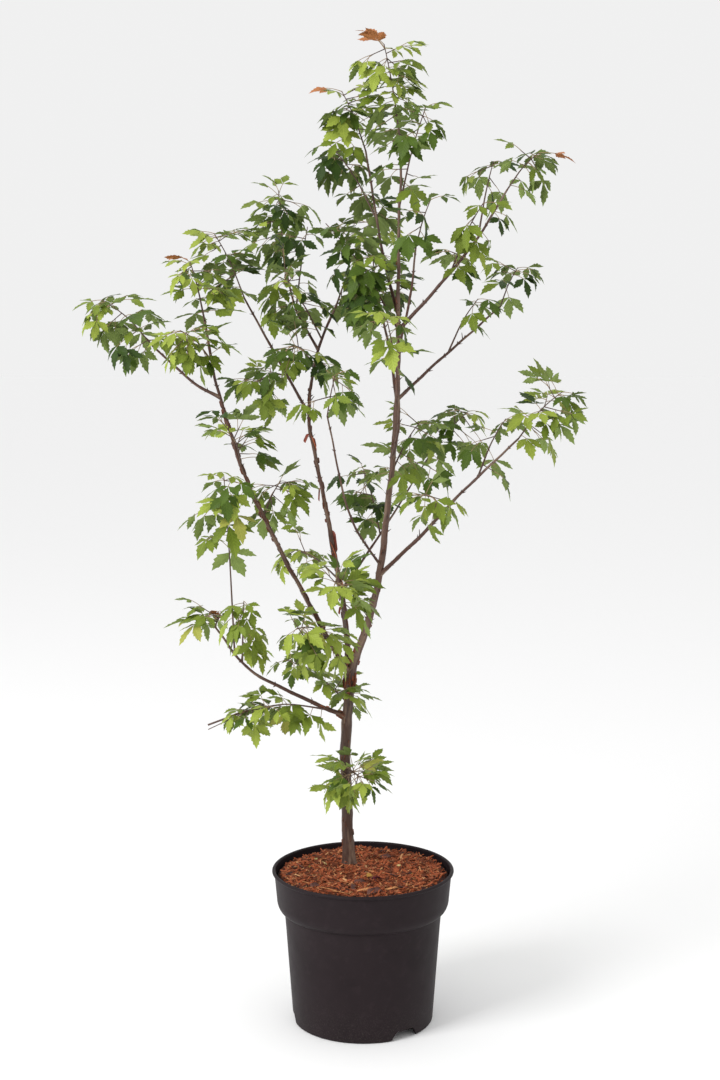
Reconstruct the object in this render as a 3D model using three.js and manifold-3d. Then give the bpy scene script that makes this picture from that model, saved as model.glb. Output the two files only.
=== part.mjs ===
// Paperbark maple in a nursery pot: a young tree whose trunk forks low into three stems.
// Millimetres, +Z up. The origin is the centre of the pot's underside.
// The front of the plant faces -Y, and +X is to the right of it.

import * as THREE from 'three';
import { mergeVertices } from 'three/addons/utils/BufferGeometryUtils.js';
import Module from 'manifold-3d';

const wasm = await Module();
wasm.setup();

// Pot: moulded plastic with a rolled lip, a deep collar and a hollow foot
const POT_HEIGHT = 300;
const POT_WALL = 3;
const LIP_RADIUS = 5;
const LIP_CENTRE = 170.5;
const COLLAR_TOP_RADIUS = 170;
const COLLAR_FOOT_RADIUS = 166.5;
const COLLAR_FOOT_HEIGHT = 244;
const SHOULDER_WIDTH = 15;
const SHOULDER_HEIGHT = 25;
const BASE_RADIUS = 136;
const BASE_CORNER = 2;
const FOOT_DISC_RADIUS = 95;
const FOOT_RING_RADIUS = 131;
const FOOT_HOLLOW = 20;
const FOOT_DRAFT = 2;
const POT_SEGMENTS = 40;

// Drainage notches in the pot's lower edge
const NOTCH_COUNT = 3;
const NOTCH_FIRST_BEARING = 36;
const NOTCH_FOOT_WIDTH = 60;
const NOTCH_TOP_WIDTH = 42;
const NOTCH_HEIGHT = 18;
const NOTCH_DEPTH = 24;

// Bark mulch on the soil that fills the pot
const SOIL_TOP = 290;
const SOIL_EDGE_DROP = 6;
const SOIL_FLAT_RADIUS = 158;

// Clearances between solids
const CLEARANCE = 0.3;
const LEAF_TO_LIMB = 4;
const SPACE_MARGIN = 3;

// Shape of every limb
const SPAN_STEPS = 12;
const LIMB_STEPS = 24;
const RING_SPACING = 60;
const RING_CROWDING = 1.5;
const FEWEST_RINGS = 5;
const MOST_RINGS = 13;
const STEM_SIDES = 10;
const BOUGH_SIDES = 8;
const COLLAR_SWELL = 0.3;
const COLLAR_LENGTH = 14;

// Limbs: each starts on the limb that bears it, runs through its bends and ends at its tip.
// "at" is the share of the bearer's length, and radii are those of the foot and the tip.
const LIMBS = {
  trunk: {
    points: [[-27, 45, SOIL_TOP + CLEARANCE], [-34, 35, 505], [-25, 30, 675]],
    radii: [11.5, 9],
  },
  stem_right: {
    on: 'trunk', at: 1, radii: [7.5, 2],
    points: [[25, 30, 835], [55, 20, 1080], [65, 10, 1250], [65, 0, 1460], [70, -10, 1660]],
  },
  stem_middle: {
    on: 'trunk', at: 1, radii: [5.5, 2.2],
    points: [[-40, 70, 815], [-85, 110, 1055], [-105, 110, 1170], [-85, 100, 1295], [-50, 90, 1380]],
  },
  stem_left: {
    on: 'trunk', at: 1, radii: [5, 2.2],
    points: [[-95, -10, 805], [-210, -70, 1050], [-265, -95, 1235], [-285, -105, 1350]],
  },
  bough_low_left: {
    on: 'trunk', at: 0.78, radii: [4.4, 1.8],
    points: [[-115, 0, 635], [-215, -40, 700], [-275, -70, 785]],
  },
  bough_outer_left: {
    on: 'stem_left', at: 0.81, radii: [3, 1.7],
    points: [[-310, -80, 1240], [-385, -60, 1305]],
  },
  bough_inner_left: {
    on: 'stem_middle', at: 0.7, radii: [3, 1.7],
    points: [[-160, 60, 1275], [-220, 10, 1390]],
  },
  bough_high_left: {
    on: 'stem_middle', at: 0.87, radii: [2.6, 1.6],
    points: [[-130, 160, 1370], [-155, 190, 1470]],
  },
  bough_cross: {
    on: 'stem_middle', at: 0.22, radii: [2.6, 1.7],
    points: [[40, 180, 935], [95, 240, 1015]],
  },
  bough_thin_left: {
    on: 'stem_right', at: 0.22, radii: [2.4, 1.5],
    points: [[-25, -60, 995], [-65, -110, 1180]],
  },
  bough_low_right: {
    on: 'stem_right', at: 0.2, radii: [4, 1.8],
    points: [[115, -10, 955], [190, -40, 1040], [285, -65, 1135]],
  },
  bough_mid_right: {
    on: 'stem_right', at: 0.54, radii: [3.2, 1.7],
    points: [[135, 70, 1265], [265, 140, 1375]],
  },
  bough_high_right: {
    on: 'stem_right', at: 0.67, radii: [3.6, 1.8],
    points: [[150, -25, 1425], [215, -45, 1510], [260, -60, 1585]],
  },
  bough_inner_right: {
    on: 'stem_right', at: 0.63, radii: [2.8, 1.6],
    points: [[85, -60, 1390], [95, -95, 1485]],
  },
  bough_second_leader: {
    on: 'stem_right', at: 0.7, radii: [3.2, 1.8],
    points: [[40, 60, 1460], [15, 80, 1605], [5, 75, 1665]],
  },
  bough_front_high: {
    on: 'stem_right', at: 0.43, radii: [3, 1.7],
    points: [[65, -100, 1165], [60, -190, 1250]],
  },
  bough_back_high: {
    on: 'stem_right', at: 0.54, radii: [3.2, 1.8],
    points: [[50, 130, 1300], [25, 220, 1415]],
  },
};

// Masses of leaves: each has one stem, from its place on a limb to its tip.
// Its space reaches "spread" round that stem, and "leaves" is the most it may carry.
const MASSES = {
  leaves_top: { on: 'stem_right', at: 1, tip: [38, -10, 1848], spread: 95, leaves: 16 },
  leaves_top_left: { on: 'bough_second_leader', at: 1, tip: [-40, 80, 1775], spread: 95, leaves: 13 },
  leaves_leader_front: { on: 'stem_right', at: 0.9, tip: [112, -70, 1730], spread: 90, leaves: 10 },
  leaves_leader_back: { on: 'bough_second_leader', at: 0.6, tip: [-62, 130, 1680], spread: 90, leaves: 10 },
  leaves_inner_right: { on: 'bough_inner_right', at: 1, tip: [120, -115, 1565], spread: 90, leaves: 8 },
  leaves_heart: { on: 'stem_right', at: 0.67, tip: [-70, 50, 1530], spread: 100, leaves: 13 },
  leaves_back_high: { on: 'bough_back_high', at: 1, tip: [10, 280, 1550], spread: 95, leaves: 11 },
  leaves_front_high: { on: 'bough_front_high', at: 1, tip: [38, -235, 1365], spread: 90, leaves: 9 },
  leaves_high_left: { on: 'bough_high_left', at: 1, tip: [-165, 210, 1600], spread: 95, leaves: 12 },
  leaves_high_middle: { on: 'bough_high_left', at: 0.5, tip: [-105, 90, 1525], spread: 90, leaves: 9 },
  leaves_inner_left: { on: 'bough_inner_left', at: 1, tip: [-275, 0, 1510], spread: 95, leaves: 12 },
  leaves_stem_left: { on: 'stem_left', at: 1, tip: [-308, -125, 1455], spread: 90, leaves: 9 },
  leaves_far_left: { on: 'bough_outer_left', at: 1, tip: [-475, -60, 1388], spread: 85, leaves: 11 },
  leaves_between_left: { on: 'stem_left', at: 0.9, tip: [-320, -200, 1335], spread: 85, leaves: 8 },
  leaves_middle_top: { on: 'stem_middle', at: 1, tip: [-20, 110, 1450], spread: 95, leaves: 6 },
  leaves_middle_front: { on: 'stem_middle', at: 0.82, tip: [-130, -70, 1305], spread: 90, leaves: 8 },
  leaves_middle_back: { on: 'bough_inner_left', at: 0.35, tip: [-205, 130, 1230], spread: 90, leaves: 9 },
  leaves_middle_left: { on: 'stem_middle', at: 0.9, tip: [-150, -30, 1425], spread: 90, leaves: 8 },
  leaves_thin_left: { on: 'bough_thin_left', at: 1, tip: [-50, -130, 1255], spread: 90, leaves: 6 },
  leaves_left_upper: { on: 'stem_left', at: 0.63, tip: [-232, -170, 1150], spread: 80, leaves: 7 },
  leaves_left_lower: { on: 'bough_low_left', at: 0.8, tip: [-250, -150, 1075], spread: 95, leaves: 12 },
  leaves_left_inner: { on: 'stem_left', at: 0.49, tip: [-155, 10, 1050], spread: 85, leaves: 7 },
  leaves_rear: { on: 'stem_middle', at: 0.25, tip: [-140, 190, 895], spread: 80, leaves: 6 },
  leaves_cross_inner: { on: 'bough_cross', at: 0.56, tip: [0, 280, 1050], spread: 90, leaves: 9 },
  leaves_cross: { on: 'bough_cross', at: 1, tip: [215, 290, 1165], spread: 105, leaves: 12 },
  leaves_right_inner: { on: 'stem_right', at: 0.4, tip: [110, 60, 1160], spread: 85, leaves: 9 },
  leaves_low_right_inner: { on: 'bough_low_right', at: 0.48, tip: [110, -130, 1040], spread: 75, leaves: 5 },
  leaves_low_right: { on: 'bough_low_right', at: 1, tip: [362, -85, 1222], spread: 95, leaves: 11 },
  leaves_low_right_middle: { on: 'bough_low_right', at: 0.73, tip: [270, 40, 1165], spread: 80, leaves: 7 },
  leaves_high_right: { on: 'bough_high_right', at: 1, tip: [315, -70, 1650], spread: 75, leaves: 6 },
  leaves_high_right_middle: { on: 'bough_high_right', at: 0.45, tip: [215, -90, 1560], spread: 90, leaves: 10 },
  leaves_high_right_outer: { on: 'bough_high_right', at: 0.7, tip: [240, 15, 1640], spread: 75, leaves: 6 },
  leaves_mid_right: { on: 'bough_mid_right', at: 1, tip: [300, 165, 1450], spread: 80, leaves: 7 },
  leaves_mid_right_inner: { on: 'bough_mid_right', at: 0.51, tip: [215, 30, 1390], spread: 75, leaves: 6 },
  leaves_front: { on: 'stem_middle', at: 0.11, tip: [-50, -190, 890], spread: 95, leaves: 10 },
  leaves_fork_left: { on: 'trunk', at: 0.85, tip: [-145, 20, 705], spread: 90, leaves: 9 },
  leaves_low_left_upper: { on: 'bough_low_left', at: 0.73, tip: [-215, -165, 850], spread: 85, leaves: 9 },
  leaves_low_middle: { on: 'stem_left', at: 0.1, tip: [-120, -165, 800], spread: 100, leaves: 8 },
  leaves_low_left: { on: 'bough_low_left', at: 1, tip: [-265, -45, 810], spread: 100, leaves: 5 },
  leaves_low_shoot: { on: 'bough_low_left', at: 0.1, tip: [-238, 30, 600], spread: 75, leaves: 8 },
  leaves_sprout: { on: 'trunk', at: 0.47, tip: [-5, -80, 500], spread: 85, leaves: 11 },
};

// Twigs of a mass: its stem, with pairs of shoots or leaves at nodes along it
const TWIG_RADII = [2.6, 1.8];
const TWIG_STEPS = 4;
const TWIG_SIDES = 3;
const STEM_RISE = 0.08;
const NODE_SPACING = 34;
const LONGEST_LEAFY_STEM = 150;
const PASSES = 4;
const TRIES = 4;
const SINGLE_LEAF_SHARE = 0.4;
const SHOOT_SHARE = [0.15, 0.45];
const SHOOT_LEAN = [60, 95];
const NODE_TURN = 90;
const PASS_TURN = 45;
const TURN_WANDER = 20;
const RETRY_WANDER = 15;
const TIP_PAIR_SETBACKS = [7, 11];
const SHOOT_PAIR_PLACES = [0.42, 0.56];

// Leaf: three leaflets on one stalk
const LEAFLET_LENGTH = 68;
const SIDE_LEAFLET_SHARE = 0.82;
const LEAFLET_SPLAY = 60;
const NOTCH_SHARE = 0.48;
const HEEL_SHARE = 0.14;
const HEEL_ANGLE = 125;
const LEAFLET_CURL = 0.12;
const LEAF_SIZES = [0.78, 1.12];
const STALK_LENGTHS = [18, 32];
const STALK_SINK = 1;
const STALK_LIFT = -0.3;
const TIP_LIFT_SHARE = 0.3;
const YOUNG_SHARE = 0.72;
const YOUNG_LENGTH = 60;
const LEAF_THICKNESS = 2.8;
const LEAST_THICKNESS_SHARE = 0.02;
const LEAF_FAN = [35, 65];
const LEAF_DROOP = [30, 62];
const LEAF_ROLL = 28;
const HEADING_WANDER = 25;
const LEAST_LEVEL = 0.2;
const STALK_CHECKS = [0.35, 0.7];

const FINISHES = {
  pot: { color: 0x2b292b, roughness: 0.6 },
  mulch: { color: 0x7a4128, roughness: 0.95 },
  bark: { color: 0x6d4a38, roughness: 0.8 },
  bough: { color: 0x5a3a30, roughness: 0.8 },
  leaf: { color: 0x66763a, roughness: 0.7 },
};

const UP = new THREE.Vector3(0, 0, 1);

function vector([x, y, z]) {
  return new THREE.Vector3(x, y, z);
}

function radians(degrees) {
  return degrees * Math.PI / 180;
}

// Random numbers from a seed, the same on every run
function seededRandom(seed) {
  let state = seed * 7919 % 2147483647;
  return () => {
    state = state * 16807 % 2147483647;
    return state / 2147483647;
  };
}

function between(random, [low, high]) {
  return low + (high - low) * random();
}

function wander(random, reach) {
  return reach * (2 * random() - 1);
}

// A smooth path through points, sampled in even steps of length

function curvePoint(knots, span, t) {
  const [a, b, c, d] = knots.slice(span - 1, span + 3);
  const point = b.clone().multiplyScalar(2);
  point.addScaledVector(c.clone().sub(a), t);
  point.addScaledVector(
    a.clone().multiplyScalar(2).addScaledVector(b, -5).addScaledVector(c, 4).sub(d), t * t);
  point.addScaledVector(
    b.clone().multiplyScalar(3).sub(a).addScaledVector(c, -3).add(d), t * t * t);
  return point.multiplyScalar(0.5);
}

function smoothPath(points, steps) {
  const before = points[0].clone().multiplyScalar(2).sub(points[1]);
  const after = points.at(-1).clone().multiplyScalar(2).sub(points.at(-2));
  const knots = [before, ...points, after];
  const dense = [];
  for (let span = 1; span < knots.length - 2; span++) {
    for (let step = 0; step < SPAN_STEPS; step++) {
      dense.push(curvePoint(knots, span, step / SPAN_STEPS));
    }
  }
  dense.push(points.at(-1).clone());
  return evenSteps(dense, steps);
}

function evenSteps(dense, steps) {
  const reached = [0];
  for (let i = 1; i < dense.length; i++) {
    reached.push(reached[i - 1] + dense[i].distanceTo(dense[i - 1]));
  }
  const length = reached.at(-1);
  const points = [];
  let piece = 1;
  for (let i = 0; i <= steps; i++) {
    const wanted = length * i / steps;
    while (piece < dense.length - 1 && reached[piece] < wanted) piece++;
    const share = (wanted - reached[piece - 1]) / (reached[piece] - reached[piece - 1]);
    points.push(dense[piece - 1].clone().lerp(dense[piece], Math.min(share, 1)));
  }
  return { points, steps, length };
}

function pointAt(path, share) {
  const place = Math.min(Math.max(share, 0), 1) * path.steps;
  const index = Math.min(Math.floor(place), path.steps - 1);
  return path.points[index].clone().lerp(path.points[index + 1], place - index);
}

function directionAt(path, share) {
  const reach = 1 / path.steps;
  return pointAt(path, share + reach).sub(pointAt(path, share - reach)).normalize();
}

// Solids

function solidFrom(geometry) {
  geometry.deleteAttribute('normal');
  geometry.deleteAttribute('uv');
  const merged = mergeVertices(geometry, 1e-4);
  const corners = merged.index.array;
  const faces = [];
  for (let i = 0; i < corners.length; i += 3) {
    const [a, b, c] = corners.slice(i, i + 3);
    if (a !== b && b !== c && c !== a) faces.push(a, b, c);
  }
  return solidFromFaces(Array.from(merged.attributes.position.array), faces);
}

function solidFromFaces(positions, faces) {
  const build = triangles => new wasm.Manifold(new wasm.Mesh({
    numProp: 3,
    vertProperties: new Float32Array(positions),
    triVerts: new Uint32Array(triangles),
  }));
  const solid = build(faces);
  return solid.volume() > 0 ? solid : build(faces.toReversed());
}

function flatten(points) {
  return points.flatMap(point => [point.x, point.y, point.z]);
}

// A closed tube with flat ends: rings of corners round the stations of a path
function tubeSolid(stations, sides) {
  const corners = [];
  const faces = [];
  let across = Math.abs(stations[0].direction.x) < 0.9
    ? new THREE.Vector3(1, 0, 0)
    : new THREE.Vector3(0, 1, 0);
  for (const { centre, direction, radius } of stations) {
    across = across.clone().addScaledVector(direction, -across.dot(direction)).normalize();
    const over = direction.clone().cross(across);
    for (let i = 0; i < sides; i++) {
      const angle = 2 * Math.PI * i / sides;
      corners.push(centre.clone()
        .addScaledVector(across, radius * Math.cos(angle))
        .addScaledVector(over, radius * Math.sin(angle)));
    }
  }
  const last = (stations.length - 1) * sides;
  for (let start = 0; start < last; start += sides) {
    for (let i = 0; i < sides; i++) {
      const next = (i + 1) % sides;
      faces.push(start + i, start + next, start + sides + next);
      faces.push(start + i, start + sides + next, start + sides + i);
    }
  }
  for (let i = 1; i < sides - 1; i++) {
    faces.push(0, i + 1, i);
    faces.push(last, last + i, last + i + 1);
  }
  return solidFromFaces(flatten(corners), faces);
}

// The largest body of a solid: scraps go, and so do walls round sealed hollows
function largestBody(solid) {
  return solid.decompose().reduce((best, body) => body.volume() > best.volume() ? body : best);
}

// Limbs

const limbs = {};

function limbRadius(limb, share) {
  const [foot, tip] = limb.radii;
  const collar = COLLAR_SWELL * foot * Math.exp(-share * limb.path.length / COLLAR_LENGTH);
  return foot + (tip - foot) * share + collar;
}

function layOutLimb(name, { on, at, points, radii }) {
  const knots = points.map(vector);
  if (on) knots.unshift(pointAt(limbs[on].path, at));
  const sides = name.startsWith('bough') ? BOUGH_SIDES : STEM_SIDES;
  limbs[name] = { name, radii, sides, path: smoothPath(knots, LIMB_STEPS) };
}

function limbSolid(limb, swell) {
  const wanted = Math.round(limb.path.length / RING_SPACING);
  const rings = Math.min(Math.max(wanted, FEWEST_RINGS), MOST_RINGS);
  const stations = [];
  for (let i = 0; i <= rings; i++) {
    const share = (i / rings) ** RING_CROWDING;
    const centre = pointAt(limb.path, share);
    const direction = i === 0 && limb.name === 'trunk' ? UP.clone() : directionAt(limb.path, share);
    if (i === 0) centre.addScaledVector(direction, -swell);
    if (i === rings) centre.addScaledVector(direction, swell);
    stations.push({ centre, direction, radius: limbRadius(limb, share) + swell });
  }
  return tubeSolid(stations, limb.sides);
}

function distanceToPiece(point, start, end) {
  const piece = end.clone().sub(start);
  const share = point.clone().sub(start).dot(piece) / piece.lengthSq();
  const held = Math.min(Math.max(share, 0), 1);
  return { distance: point.distanceTo(start.clone().addScaledVector(piece, held)), held };
}

function nearest(point, path) {
  let best = { distance: Infinity, share: 0 };
  for (let i = 0; i < path.steps; i++) {
    const { distance, held } = distanceToPiece(point, path.points[i], path.points[i + 1]);
    if (distance < best.distance) best = { distance, share: (i + held) / path.steps };
  }
  return best;
}

function limbsMeet(one, other) {
  return one.path.points.some(point => {
    const { distance, share } = nearest(point, other.path);
    return distance < limbRadius(one, 0) + limbRadius(other, share) + RING_SPACING;
  });
}

// Each limb is cut clear of the limbs listed before it that it comes near
function buildLimbs() {
  const done = [];
  for (const limb of Object.values(limbs)) {
    let solid = limbSolid(limb, 0);
    for (const elder of done) {
      if (limbsMeet(limb, elder)) solid = solid.subtract(limbSolid(elder, CLEARANCE));
    }
    limb.solid = largestBody(solid);
    done.push(limb);
  }
}

// Leaf masses

const masses = {};

function layOutMass(name, { on, at, tip, spread, leaves }, index) {
  const bearer = limbs[on];
  const root = pointAt(bearer.path, at);
  const end = vector(tip);
  const length = root.distanceTo(end);
  const middle = root.clone().lerp(end, 0.5).addScaledVector(UP, STEM_RISE * length);
  const path = smoothPath([root, middle, end], TWIG_STEPS);
  masses[name] = { name, bearer, path, spread, most: leaves, seed: index + 1 };
}

// A point is free when it is in its own mass's space and clear of every limb
function isFree(point, mass) {
  const own = nearest(point, mass.path).distance - mass.spread;
  if (own > 0) return false;
  for (const other of Object.values(masses)) {
    if (other === mass) continue;
    if (nearest(point, other.path).distance - other.spread < own + SPACE_MARGIN) return false;
  }
  for (const limb of Object.values(limbs)) {
    const { distance, share } = nearest(point, limb.path);
    if (distance < limbRadius(limb, share) + LEAF_TO_LIMB) return false;
  }
  return true;
}

function placeLeaf(random, root, direction, extraStalk, vigour) {
  const size = between(random, LEAF_SIZES) * LEAFLET_LENGTH * vigour;
  const level = Math.hypot(direction.x, direction.y) > LEAST_LEVEL;
  const heading = level
    ? Math.atan2(direction.y, direction.x) + radians(wander(random, HEADING_WANDER))
    : 2 * Math.PI * random();
  const bend = radians(between(random, LEAF_DROOP));
  const roll = radians(wander(random, LEAF_ROLL));
  const stalk = direction.clone().addScaledVector(UP, STALK_LIFT).normalize();
  const centre = root.clone().addScaledVector(stalk, between(random, STALK_LENGTHS) + extraStalk);
  const pitch = Math.asin(stalk.z) - bend;
  const forward = new THREE.Vector3(
    Math.cos(heading) * Math.cos(pitch), Math.sin(heading) * Math.cos(pitch), Math.sin(pitch));
  const side = new THREE.Vector3(-Math.sin(heading), Math.cos(heading), 0).applyAxisAngle(forward, roll);
  const top = forward.clone().cross(side);
  return { root, stalk, centre, forward, side, top, size };
}

// A point of the blade, at an angle from the middle leaflet's line
function bladePoint(leaf, angle, reach, lift) {
  return leaf.centre.clone()
    .addScaledVector(leaf.forward, reach * Math.cos(radians(angle)))
    .addScaledVector(leaf.side, reach * Math.sin(radians(angle)))
    .addScaledVector(leaf.top, lift);
}

// Corners of the blade's outline, from the left heel round the three tips to the right heel
function bladeOutline(leaf) {
  const { size } = leaf;
  const sideReach = size * SIDE_LEAFLET_SHARE;
  const curl = -LEAFLET_CURL * size;
  return [
    bladePoint(leaf, HEEL_ANGLE, size * HEEL_SHARE, 0),
    bladePoint(leaf, LEAFLET_SPLAY, sideReach, curl),
    bladePoint(leaf, LEAFLET_SPLAY / 2, size * NOTCH_SHARE, 0),
    bladePoint(leaf, 0, size, curl),
    bladePoint(leaf, -LEAFLET_SPLAY / 2, size * NOTCH_SHARE, 0),
    bladePoint(leaf, -LEAFLET_SPLAY, sideReach, curl),
    bladePoint(leaf, -HEEL_ANGLE, size * HEEL_SHARE, 0),
  ];
}

function leafIsFree(leaf, mass) {
  const outline = bladeOutline(leaf);
  const middles = outline.map(corner => corner.clone().lerp(leaf.centre, 0.5));
  const edges = outline.slice(1).map((corner, i) => corner.clone().lerp(outline[i], 0.5));
  const stalk = STALK_CHECKS.map(share => leaf.root.clone().lerp(leaf.centre, share));
  return [...stalk, leaf.centre, ...outline, ...middles, ...edges].every(point => isFree(point, mass))
    && !Object.values(limbs).some(limb => limbCrosses(limb, leaf))
    && !mass.leaves.some(other => leavesCross(leaf, other));
}

// Whether the line from one point to another goes through a triangle
function lineCrosses(from, to, [a, b, c]) {
  const line = to.clone().sub(from);
  const one = b.clone().sub(a);
  const two = c.clone().sub(a);
  const normal = line.clone().cross(two);
  const scale = one.dot(normal);
  if (Math.abs(scale) < 1e-9) return false;
  const offset = from.clone().sub(a);
  const u = offset.dot(normal) / scale;
  const turned = offset.clone().cross(one);
  const v = line.dot(turned) / scale;
  const t = two.dot(turned) / scale;
  return u >= 0 && v >= 0 && u + v <= 1 && t >= 0 && t <= 1;
}

function bladeTriangles(leaf) {
  const outline = bladeOutline(leaf);
  return outline.slice(1).map((corner, i) => [leaf.centre, outline[i], corner]);
}

function leafLines(leaf) {
  const outline = bladeOutline(leaf);
  const rim = outline.slice(1).map((corner, i) => [outline[i], corner]);
  const spokes = outline.map(corner => [leaf.centre, corner]);
  return [...rim, ...spokes, [leaf.root, leaf.centre]];
}

function pierces(lines, triangles) {
  return lines.some(([from, to]) => triangles.some(triangle => lineCrosses(from, to, triangle)));
}

function leavesCross(one, other) {
  if (one.centre.distanceTo(other.centre) > 2 * LEAFLET_LENGTH * LEAF_SIZES[1]) return false;
  return pierces(leafLines(one), bladeTriangles(other)) || pierces(leafLines(other), bladeTriangles(one));
}

function limbCrosses(limb, leaf) {
  if (nearest(leaf.centre, limb.path).distance > LEAFLET_LENGTH * LEAF_SIZES[1]) return false;
  const pieces = limb.path.points.slice(1).map((point, i) => [limb.path.points[i], point]);
  return pierces(pieces, bladeTriangles(leaf));
}

// A pass goes from the tip back along the leafy length, with a pair at each node
function growMass(mass) {
  const random = seededRandom(mass.seed);
  const { path } = mass;
  const leafy = Math.min(path.length, LONGEST_LEAFY_STEM);
  const nodes = Math.floor(leafy / NODE_SPACING) + 1;
  const firstTurn = 360 * random();
  mass.leaves = [];
  const ahead = directionAt(path, 1);
  ahead.z *= TIP_LIFT_SHARE;
  addLeaf(mass, random, pointAt(path, 1 - STALK_SINK / path.length), ahead.normalize(), 0, 0, YOUNG_SHARE);
  TIP_PAIR_SETBACKS.forEach((setback, i) => {
    addLeaf(mass, random, pointAt(path, 1 - setback / path.length), ahead, 2 * i - 1, 0, YOUNG_SHARE);
  });
  for (let pass = 0; pass < PASSES; pass++) {
    for (let node = 0; node < nodes; node++) {
      const back = (node + 0.5 + pass / PASSES) * NODE_SPACING;
      const share = 1 - back / path.length;
      for (const half of [0, 180]) {
        if (mass.leaves.length >= mass.most || share <= 0) break;
        const turn = firstTurn + NODE_TURN * node + PASS_TURN * pass + half + wander(random, TURN_WANDER);
        growSide(mass, random, share, turn);
      }
    }
  }
}

// One side of a node bears a single leaf, or a shoot that ends in a leaf and carries a pair
function growSide(mass, random, share, turn) {
  const start = pointAt(mass.path, share);
  const along = directionAt(mass.path, share);
  const level = new THREE.Vector3(-along.y, along.x, 0);
  if (level.length() < LEAST_LEVEL) level.set(1, 0, 0);
  const outward = level.normalize().applyAxisAngle(along, radians(turn));
  const lean = radians(between(random, SHOOT_LEAN));
  const direction = along.clone().multiplyScalar(Math.cos(lean))
    .addScaledVector(outward, Math.sin(lean))
    .normalize();
  const single = random() < SINGLE_LEAF_SHARE;
  const extraStalk = single ? 0 : between(random, SHOOT_SHARE) * mass.spread;
  const fromTip = (1 - share) * mass.path.length;
  const vigour = YOUNG_SHARE + (1 - YOUNG_SHARE) * Math.min(fromTip / YOUNG_LENGTH, 1);
  const first = addLeaf(mass, random, start, direction, 0, extraStalk, vigour);
  if (single || !first) return;
  SHOOT_PAIR_PLACES.forEach((place, i) => {
    const root = first.root.clone().lerp(first.centre, place);
    addLeaf(mass, random, root, first.stalk, 2 * i - 1, 0, vigour);
  });
}

// A few tries at a leaf from one point, turned aside from the wanted direction
function addLeaf(mass, random, root, direction, aside, extraStalk, vigour) {
  for (let attempt = 0; attempt < TRIES; attempt++) {
    const fan = radians(between(random, LEAF_FAN) * aside + wander(random, RETRY_WANDER * attempt));
    const leaf = placeLeaf(random, root, direction.clone().applyAxisAngle(UP, fan), extraStalk, vigour);
    if (mass.leaves.length < mass.most && leafIsFree(leaf, mass)) {
      mass.leaves.push(leaf);
      return leaf;
    }
  }
  return null;
}

// One closed body, thickest at the leaflets' meeting point and thin at its rim.
// The rim runs from the stalk's root, past the far side of the twig, round the leaflets.
function leafSolid(leaf) {
  const half = Math.max(LEAF_THICKNESS, leaf.size * LEAST_THICKNESS_SHARE) / 2;
  const root = leaf.root.clone().addScaledVector(leaf.stalk, -STALK_SINK);
  const upper = leaf.centre.clone().addScaledVector(leaf.top, half);
  const lower = leaf.centre.clone().addScaledVector(leaf.top, -half);
  const rim = [root, ...bladeOutline(leaf)];
  const faces = [];
  for (let i = 0; i < rim.length; i++) {
    const next = (i + 1) % rim.length;
    faces.push(rim.length, i, next);
    faces.push(rim.length + 1, next, i);
  }
  return solidFromFaces(flatten([...rim, upper, lower]), faces);
}

function twigSolid({ path }) {
  const [foot, tip] = TWIG_RADII;
  const stations = path.points.map((centre, i) => {
    const share = i / path.steps;
    return { centre, direction: directionAt(path, share), radius: foot + (tip - foot) * share };
  });
  return tubeSolid(stations, TWIG_SIDES);
}

function massSolid(mass) {
  growMass(mass);
  let solid = twigSolid(mass);
  for (const leaf of mass.leaves) solid = solid.add(leafSolid(leaf));
  return largestBody(solid.subtract(limbSolid(mass.bearer, CLEARANCE)));
}

// Pot and mulch

// Inner face of the pot, from its floor's middle to below the lip, drawn in by a clearance
function potInside(clear, shoulderSteps) {
  const inset = POT_WALL + clear;
  const bodyTop = COLLAR_FOOT_RADIUS - SHOULDER_WIDTH;
  const points = [
    [0, inset],
    [FOOT_DISC_RADIUS - inset, inset],
    [FOOT_DISC_RADIUS + FOOT_DRAFT - inset, FOOT_HOLLOW + inset],
    [BASE_RADIUS + FOOT_DRAFT - inset, FOOT_HOLLOW + inset],
  ];
  for (let i = 0; i <= shoulderSteps; i++) {
    const angle = Math.PI / 2 * (1 - i / shoulderSteps);
    points.push([
      bodyTop - inset + SHOULDER_WIDTH * Math.cos(angle),
      COLLAR_FOOT_HEIGHT - (SHOULDER_HEIGHT - inset) * Math.sin(angle),
    ]);
  }
  return points;
}

function potOutside() {
  const bodyTop = COLLAR_FOOT_RADIUS - SHOULDER_WIDTH;
  const points = [
    [0, 0],
    [FOOT_DISC_RADIUS, 0],
    [FOOT_DISC_RADIUS + FOOT_DRAFT, FOOT_HOLLOW],
    [FOOT_RING_RADIUS - FOOT_DRAFT, FOOT_HOLLOW],
    [FOOT_RING_RADIUS, 0],
    [BASE_RADIUS - BASE_CORNER, 0],
    [BASE_RADIUS, BASE_CORNER],
  ];
  for (const degrees of [90, 60, 30, 0]) {
    points.push([
      bodyTop + SHOULDER_WIDTH * Math.cos(radians(degrees)),
      COLLAR_FOOT_HEIGHT - SHOULDER_HEIGHT * Math.sin(radians(degrees)),
    ]);
  }
  return points;
}

function lipOutline() {
  const centre = POT_HEIGHT - LIP_RADIUS;
  return [-90, -30, 30, 90, 180].map(degrees => [
    LIP_CENTRE + LIP_RADIUS * Math.cos(radians(degrees)),
    centre + LIP_RADIUS * Math.sin(radians(degrees)),
  ]);
}

function latheSolid(profile) {
  const outline = profile.map(([radius, height]) => new THREE.Vector2(radius, height));
  const geometry = new THREE.LatheGeometry(outline, POT_SEGMENTS);
  geometry.rotateX(Math.PI / 2);
  return solidFrom(geometry);
}

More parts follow.
